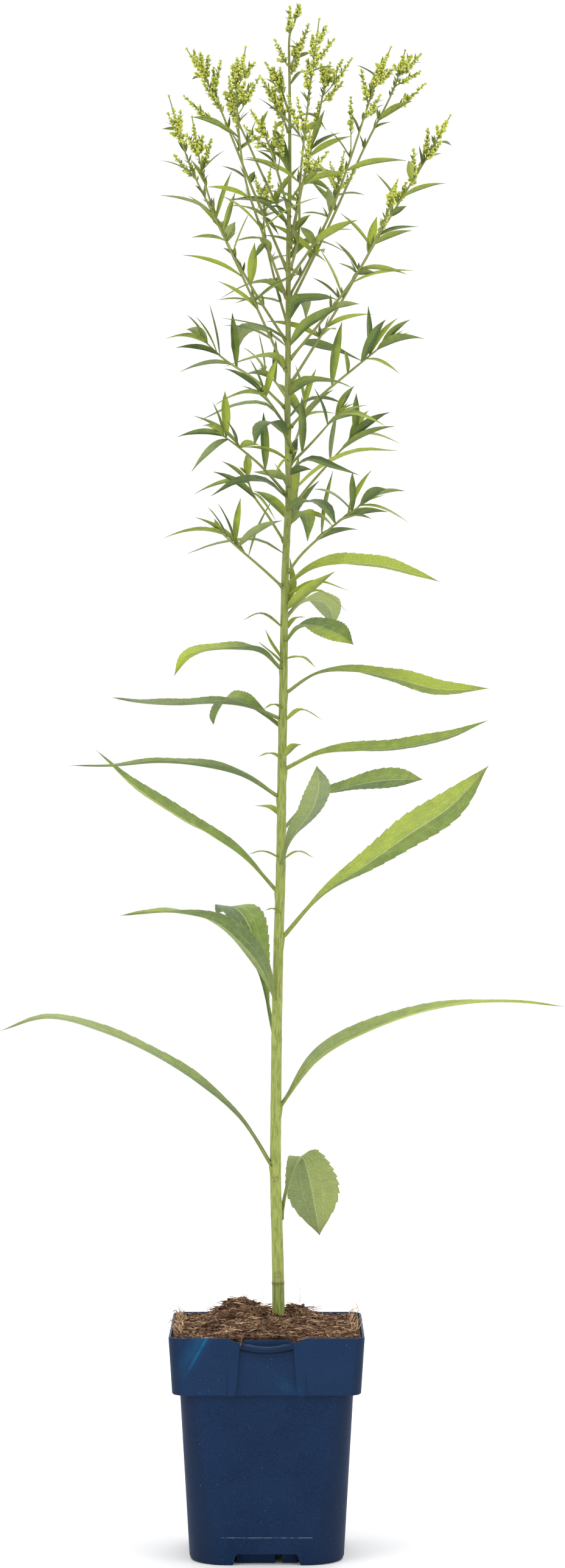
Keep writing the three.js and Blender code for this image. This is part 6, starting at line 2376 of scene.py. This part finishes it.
        rise = self.lip_height / 2
        combine(pot, backing(0, low, self.panel_depth + self.lip_wall, self.lip_height), "UNION")
        combine(pot, shelf(0, low, self.lip_step, rise + 0.05), "UNION")
        combine(pot, shelf(0, low + rise, 0, rise), "UNION")
        slot = low + self.slot_rise
        combine(pot, shelf(self.slot_inset, slot, self.lip_wall, self.lip_height), "DIFFERENCE")
        combine(pot, backing(self.slot_inset, slot, self.slot_depth, self.lip_height), "DIFFERENCE")
        rib_from = -self.rim_half - self.lip_bulge + 0.8
        wide = self.rib_half
        rib = self.box((-wide, rib_from, low - 0.6), (wide, -self.rim_half + 3, top - self.lip_dip))
        combine(pot, rib, "UNION")

    def cut_foot(self, pot: Piece) -> None:
        """Cuts the crossing channels under the floor, leaving the middle foot, and the drain holes.

        Args:
            pot: the shell.
        """
        wide = self.notch_half + self.notch_flare * 0.5
        narrow = self.notch_half - self.notch_flare
        reach = self.rim_half
        corners = [(-wide, -1), (wide, -1), (narrow, self.notch_height), (-narrow, self.notch_height)]
        channel = self.front(corners, -reach, reach)
        across = prism([Vector((-reach, x, z)) for x, z in corners], Vector((2 * reach, 0, 0)))
        combine(channel, across, "UNION")
        foot = self.foot_half
        combine(channel, self.box((-foot, -foot, -2), (foot, foot, self.height)), "DIFFERENCE")
        combine(pot, channel, "DIFFERENCE")
        near, far = self.inner_block_y
        for low, high in self.inner_blocks:
            combine(pot, self.box((low, near, 0.4), (high, far, self.notch_height + 1)), "UNION")
        for i in range(4):
            angle = i * math.pi / 2
            across = Vector((math.cos(angle), math.sin(angle), 0)) * self.drain_offset
            place = (across + Vector((0, 0, self.floor_z))) * MM
            bpy.ops.mesh.primitive_cylinder_add(
                vertices=self.drain_sides, radius=self.drain_radius * MM, depth=8 * MM, location=place
            )
            combine(pot, bpy.context.object, "DIFFERENCE")

    def add_wells(self, pot: Piece) -> None:
        """Hollows the four feet from inside."""
        half = self.well_half
        for x in (-self.well_offset, self.well_offset):
            for y in (-self.well_offset, self.well_offset):
                low = (x - half, y - half, self.wall + 0.4)
                combine(pot, self.box(low, (x + half, y + half, self.floor_z + 1)), "DIFFERENCE")

    def make(self, finish: PotFinish) -> None:
        """Models the pot and softens its edges.

        Args:
            finish: its plastic.
        """
        pot = self.shell()
        self.cut_panel(pot)
        self.add_lip(pot)
        self.add_wells(pot)
        self.cut_foot(pot)
        in_edit(pot)
        bpy.ops.mesh.remove_doubles(threshold=0.00001)
        bpy.ops.mesh.dissolve_limited(angle_limit=math.radians(1))
        bpy.ops.object.mode_set(mode="OBJECT")
        bevel = pot.modifiers.new("soft edges", "BEVEL")
        bevel.width = self.soft_edge * MM
        bevel.segments = 2
        bevel.limit_method = "ANGLE"
        bevel.angle_limit = math.radians(40)
        choose(pot)
        bpy.ops.object.modifier_apply(modifier="soft edges")
        bpy.ops.object.shade_smooth_by_angle(angle=math.radians(32))
        pot.name = "pot_moulded"
        pot.data.materials.clear()
        pot.data.materials.append(finish.material())
        hand_over(pot, "pot", "pot")


@dataclass
class Peat:
    """The filling of the pot: a mounded surface, loose crumbs, fibres and a few upright hairs."""

    level: float = 128.2
    half: float = 53.0
    corner: float = 5.0
    rim: float = 128.6
    cells: int = 120
    crumbs: int = 1700
    fibres: int = 2600
    crumb_seed: int = 23
    fibre_seed: int = 31
    hairs: int = 10
    rim_fibres: int = 78
    foot_fibres: int = 30
    stem_foot: float = 134.0
    panel_half: float = 21.9
    dip_depth: float = 3.0
    dip_middle: float = 17.0
    panel_back: float = -48.9
    mounds: Rows = (
        (-19, 9, 10.5, 10.0), (-6, 13, 3.0, 7), (17, 17, 7.0, 8), (2, -2, 5, 24), (38, 34, -2, 16),
    )
    # Half width and corner of the filling at levels below its top
    levels: Rows = ((98.6, 51.1, 6.4), (96.4, 46.9, 10.4), (9.0, 42.2, 20.2))
    # The small twig that hangs over the lip
    twig: Rows = ((-12.4, -47, 131.0), (-13.4, -53.5, 130.2), (-14.6, -57.2, 125.4))
    # Hairs that stand in sight: root, middle and tip
    seen_hairs: Sequence[tuple] = (
        ((-8, 12, 138), (-14, 12, 143), (-10, 12, 148)), ((-6, 12, 138), (-2, 12, 144), (-5, 12, 150)),
        ((-29, 8, 139), (-33, 8, 141), (-38, 8, 144.5)), ((-12, 12, 140), (-14, 12, 146), (-11, 12, 147)),
        ((19, 17, 139), (17, 17, 151), (10.5, 17, 144)), ((17, 17, 139), (20, 17, 143), (19, 17, 147)),
        ((-54, 0, 130), (-56, 0, 136), (-54.5, 0, 141)), ((-50, 5, 130), (-52, 5, 137), (-49, 5, 140)),
        ((47, 40, 128), (50, 40, 135), (48, 40, 139)), ((26, 20, 132), (27, 20, 138), (26, 20, 141)),
    )

    def height(self, x: float, y: float) -> float:
        """Gives the height of the surface at a place.

        Args:
            x: the place across.
            y: the place in depth.

        Returns:
            The height in millimetres.
        """
        z = self.level
        for mx, my, rise, spread in self.mounds:
            z += rise * math.exp(-((x - mx) ** 2 + (y - my) ** 2) / (2 * spread * spread))
        z += self.lumps(x, y)
        edge = self.half - max(abs(x), abs(y))
        rim = self.rim
        if abs(x) < self.panel_half and y < 0:
            edge = min(edge, y - self.panel_back)
            rim -= self.dip_depth * math.exp(-(((abs(x) - self.dip_middle) / 4) ** 2))
        return min(z, rim + max(0.0, edge) * 1.5)

    @staticmethod
    def lumps(x: float, y: float) -> float:
        """Gives the height of the clods and crumbs at a place."""
        place = Vector((x, y, 30.0))
        clods = 1.3 * noise.fractal(place * 0.09, 1.0, 2.0, 3) + 1.5 * noise.noise(place * 0.24)
        return clods + 1.1 * noise.fractal(place * 0.55, 0.8, 2.0, 3)

    def daylight(self, x: float, y: float) -> float:
        """Gives how far a place is from the bottom of a hollow, from 0 to 1, for the painted shade of the
        peat.
        """
        return min(1.0, max(0.0, 0.5 + self.lumps(x, y) / 3.6))

    @staticmethod
    def outline(x: float, y: float, half: float, corner: float) -> Pair:
        """Finds where the ray to a place meets a square outline with round corners.

        Args:
            x: the place across.
            y: the place in depth.
            half: the outline's half width.
            corner: its corner radius.

        Returns:
            The meeting place.
        """
        far = math.hypot(x, y)
        if far == 0:
            return 0.0, 0.0
        along, aside = abs(x) / far, abs(y) / far
        reach = half / max(along, aside)
        inner = half - corner
        if min(along, aside) * reach > inner:
            middle = inner * (along + aside)
            reach = middle + math.sqrt(max(0.0, middle**2 - 2 * inner**2 + corner**2))
        return x / far * reach, y / far * reach

    def rounded(self, u: float, v: float) -> Pair:
        """Moves a place of the unit square into the outline of the top."""
        far = max(abs(u), abs(v))
        x, y = self.outline(u, v, self.half, self.corner)
        return x * far, y * far

    def surface(self, finish: PeatFinish) -> None:
        """Models the filling with its uneven top.

        Args:
            finish: its finish.
        """
        bpy.ops.mesh.primitive_grid_add(x_subdivisions=self.cells, y_subdivisions=self.cells, size=2)
        peat = bpy.context.object
        for vertex in peat.data.vertices:
            x, y = self.rounded(vertex.co.x, vertex.co.y)
            vertex.co = (x * MM, y * MM, self.height(x, y) * MM)
        in_edit(peat)
        bpy.ops.mesh.select_all(action="DESELECT")
        bpy.ops.mesh.select_non_manifold()
        for z, half, corner in self.levels:
            bpy.ops.mesh.extrude_region_move(TRANSFORM_OT_translate={"value": (0, 0, 0)})
            bpy.ops.object.mode_set(mode="OBJECT")
            for vertex in peat.data.vertices:
                if vertex.select:
                    x, y = self.outline(vertex.co.x, vertex.co.y, half, corner)
                    vertex.co = (x * MM, y * MM, z * MM)
            bpy.ops.object.mode_set(mode="EDIT")
        bpy.ops.mesh.edge_face_add()
        close_up(peat)
        wide = self.panel_half
        corners = [Vector((x, -70, z)) for x, z in ((-wide, 90), (wide, 90), (wide, 150), (-wide, 150))]
        combine(peat, prism(corners, Vector((0, self.panel_back + 70, 0))), "DIFFERENCE")
        bpy.ops.object.shade_smooth_by_angle(angle=math.radians(50))
        tones = np.ones((len(peat.data.vertices), 4))
        for i, vertex in enumerate(peat.data.vertices):
            tones[i, 0] = self.daylight(vertex.co.x / MM, vertex.co.y / MM)
        layer = peat.data.color_attributes.new("tone", "FLOAT_COLOR", "POINT")
        layer.data.foreach_set("color", tones.ravel())
        peat.name = "peat_filling"
        peat.data.materials.append(finish.material())
        hand_over(peat, "peat", "peat")

    def scatter(self, draw: Draw, inset: float) -> Pair:
        """Draws a place on the surface.

        Args:
            draw: gives the next chance value.
            inset: how far it keeps from the rim.

        Returns:
            The place.
        """
        reach = self.half - inset
        x, y = mix(-reach, reach, draw()), mix(-reach, reach, draw())
        return x, max(y, self.panel_back + 0.6) if abs(x) < self.panel_half else y

    def kept_in(self, place: Array) -> None:
        """Moves a place of a fibre back behind the rim."""
        place[:2] = np.clip(place[:2], 1 - self.half, self.half - 1)
        if abs(place[0]) < self.panel_half:
            place[1] = max(place[1], self.panel_back + 0.4)

    def crumb_piece(self, finish: Material) -> None:
        """Scatters crumbs over the surface.

        Args:
            finish: its material.
        """
        draw = seeded_draws(self.crumb_seed)
        skin = Skin()
        bpy.ops.mesh.primitive_ico_sphere_add(subdivisions=1, radius=1)
        lump = bpy.context.object
        ball = np.array([vertex.co for vertex in lump.data.vertices])
        faces = [np.array(face.vertices) for face in lump.data.polygons]
        bpy.data.objects.remove(lump)
        for _ in range(self.crumbs):
            x, y = self.scatter(draw, 1.5)
            size = mix(0.35, 1.35, draw() ** 2)
            stretch = np.array([mix(0.6, 1.5, draw()), mix(0.6, 1.5, draw()), mix(0.4, 0.9, draw())]) * size
            rough = np.array([mix(0.7, 1.25, draw()) for _ in range(len(ball))])[:, None]
            place = np.array([x, y, self.height(x, y) + size * 0.25])
            # painted shade: crumbs in hollows are darker
            shade = mix(0.0, 0.7, draw()) * mix(0.3, 1.1, self.daylight(x, y))
            tones = np.tile([shade, 0.0, 0.0], (len(ball), 1))
            skin.add(ball * rough * stretch + place, np.zeros((len(ball), 2)), tones, faces, Coat.BLADE)
        hand_over(skin.build("peat_crumbs", [finish], 20), "peat")

    def fibre_piece(self, finish: Material) -> None:
        """Lays fibres over the surface and stands a few hairs in it.

        Args:
            finish: its material.
        """
        draw = seeded_draws(self.fibre_seed)
        skin = Skin()
        for k in range(self.fibres + self.hairs):
            x, y = self.scatter(draw, 3)
            upright = k >= self.fibres
            heading = draw() * 2 * math.pi
            length = mix(9, 17, draw()) if upright else mix(2.5, 10, draw() ** 1.6)
            bend = mix(-0.5, 0.5, draw()) * length
            rise = length * mix(0.6, 0.95, draw()) if upright else length * mix(-0.08, 0.42, draw() ** 2)
            out = np.array([math.cos(heading), math.sin(heading), 0])
            aside = np.array([-out[1], out[0], 0])
            root = np.array([x, y, self.height(x, y) + 0.15])
            tip = root + out * (length * (0.35 if upright else 1))
            self.kept_in(tip)
            ground = self.height(tip[0], tip[1])
            tip[2] = ground + rise if upright else max(ground + 0.1, root[2] + rise * 0.6)
            middle = (root + tip) / 2 + aside * bend
            self.kept_in(middle)
            middle[2] = max(middle[2], self.height(middle[0], middle[1]) + 0.5 + abs(rise) * 0.3)
            thick = 0.07 if upright else mix(0.15, 0.48, draw() ** 2)
            at = np.arange(6) / 5
            # painted shade: fibres in hollows are darker, hairs stay pale
            shade = 0.9 if upright else mix(0.1, 1.05, draw()) * mix(0.35, 1.15, self.daylight(x, y))
            radii = thick * np.interp(at, (0, 0.3, 1), (0.7, 1, 0.35))
            add_rod(skin, Arc(root, middle, tip), at, radii, 4, np.tile([shade, 0.0, 0.0], (6, 1)))
        for root, middle, tip in self.seen_hairs:
            self.strand(skin, (root, middle, tip), 0.1, 0.55)
        for k in range(self.rim_fibres):
            side = 1 if k % 3 else -0.98
            root = (side * mix(-52, -47, draw()), mix(-40, 46, draw()), 129.2)
            middle = (root[0] - side * mix(0, 3, draw()), root[1] + mix(-4, 4, draw()), mix(130, 133, draw()))
            tip = (root[0] - side * mix(-1, 5, draw()), root[1] + mix(-7, 7, draw()), mix(130, 136, draw()))
            self.strand(skin, (root, middle, tip), mix(0.12, 0.3, draw()), mix(0.5, 1.0, draw()))
        foot = stem_middles(np.array([self.stem_foot]))[0]
        for k in range(self.foot_fibres):
            angle = draw() * 2 * math.pi
            out = np.array([math.cos(angle), math.sin(angle), 0.0])
            aside = np.array([-out[1], out[0], 0.0]) * mix(-5.5, 5.5, draw())
            root = foot + out * mix(3.6, 5.2, draw())
            tip = root + aside + out * mix(0.4, 3.0, draw())
            root[2] = self.height(root[0], root[1]) + mix(0.3, 1.6, draw())
            tip[2] = self.height(tip[0], tip[1]) + mix(0.2, 2.2, draw())
            middle = (root + tip) / 2 + (0, 0, mix(0.2, 1.4, draw()))
            self.strand(skin, (root, middle, tip), mix(0.2, 0.5, draw()), mix(0.1, 0.8, draw()))
        self.strand(skin, self.twig, 0.55, 0.3)
        hand_over(skin.build("peat_fibres", [finish, finish], 60), "peat")

    @staticmethod
    def strand(skin: Skin, places: Rows, thick: float, shade: float) -> None:
        """Adds one bent fibre over three places.

        Args:
            skin: where it is added.
            places: its root, middle and tip.
            thick: its radius.
            shade: how pale it is.
        """
        root, middle, tip = (np.array(place, float) for place in places)
        at = np.arange(9) / 8
        bend = Arc(root, 2 * middle - (root + tip) / 2, tip)
        rings = thick * np.interp(at, (0, 1), (1, 0.6))
        add_rod(skin, bend, at, rings, 4, np.tile([shade, 0.0, 0.0], (9, 1)))

    def make(self) -> None:
        """Makes the filling, its crumbs and its fibres."""
        fibre = FibreFinish().material()
        self.surface(PeatFinish())
        self.crumb_piece(fibre)
        self.fibre_piece(fibre)


@dataclass
class Studio:
    """The pale floor, the soft lights and the camera at the photo's viewing angle."""

    floor_size: float = 60.0
    sky: Colour = (1.0, 1.0, 1.0)
    sky_strength: float = 1.05

    def make(self) -> None:
        """Builds the studio."""
        scene = bpy.context.scene
        scene.view_settings.view_transform = "Standard"
        world = bpy.data.worlds.new("studio_sky")
        world.use_nodes = True
        ground = world.node_tree.nodes["Background"]
        ground.inputs["Color"].default_value = (*self.sky, 1.0)
        ground.inputs["Strength"].default_value = self.sky_strength
        scene.world = world
        bpy.ops.mesh.primitive_plane_add(size=self.floor_size)
        floor = bpy.context.object
        floor.name = "studio_floor"
        floor.data.materials.append(FloorFinish().material())
        floor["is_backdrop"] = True
        self.light("left_window", (-1.6, -1.5, 1.7), 1.4, 16)
        self.light("right_window", (1.7, -1.2, 1.3), 1.4, 9)
        self.light("back_window", (0.3, 1.9, 1.5), 1.6, 14)
        self.camera()

    def light(self, name: str, place: Place, size: float, power: float) -> None:
        """Adds a soft square light that faces the plant.

        Args:
            name: its name.
            place: where it hangs.
            size: its size.
            power: its power.
        """
        lamp = bpy.data.lights.new(name, "AREA")
        lamp.size = size
        lamp.energy = power
        holder = bpy.data.objects.new(name, lamp)
        holder.location = place
        towards = Vector((0, 0, 0.45)) - Vector(place)
        holder.rotation_euler = towards.to_track_quat("-Z", "Y").to_euler()
        bpy.context.scene.collection.objects.link(holder)

    def camera(self) -> None:
        """Places the camera level with the middle of the plant."""
        lens = bpy.data.cameras.new("studio_camera")
        lens.lens = LENS
        lens.sensor_width = 36
        eye = bpy.data.objects.new("studio_camera", lens)
        eye.location = (SIGHT_SIDE * MM, -SIGHT_DISTANCE * MM, SIGHT_HEIGHT * MM)
        eye.rotation_euler = (math.pi / 2, 0, 0)
        bpy.context.scene.collection.objects.link(eye)
        bpy.context.scene.camera = eye


def corners(box: tuple[Vector, Vector]) -> list[list[float]]:
    """Turns a box into plain lists."""
    return [list(corner) for corner in box]


def main() -> None:
    """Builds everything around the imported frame."""
    logging.basicConfig(level=logging.INFO, format="%(name)s %(message)s")
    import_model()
    solid_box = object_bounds()
    bpy.ops.object.select_all(action="DESELECT")
    plan = Plan()
    finishes = [BladeFinish().material(), StalkFinish().material(), BudFinish().material()]
    for kind, growths, seed in (
        (SingleLeaf, plan.leaves, LEAF_SEED),
        (LeafyShoot, plan.shoots, SHOOT_SEED),
        (FlowerBranch, plan.branches, BRANCH_SEED),
        (MainStem, [plan.stem], STEM_SEED),
    ):
        for i, growth in enumerate(growths):
            kind(growth, seed + i, finishes).make()
    Peat().make()
    Pot().make(PotFinish())
    Studio().make()
    {"cad": corners(solid_box), "visual": corners(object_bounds())}


if __name__ == "__main__":
    main()
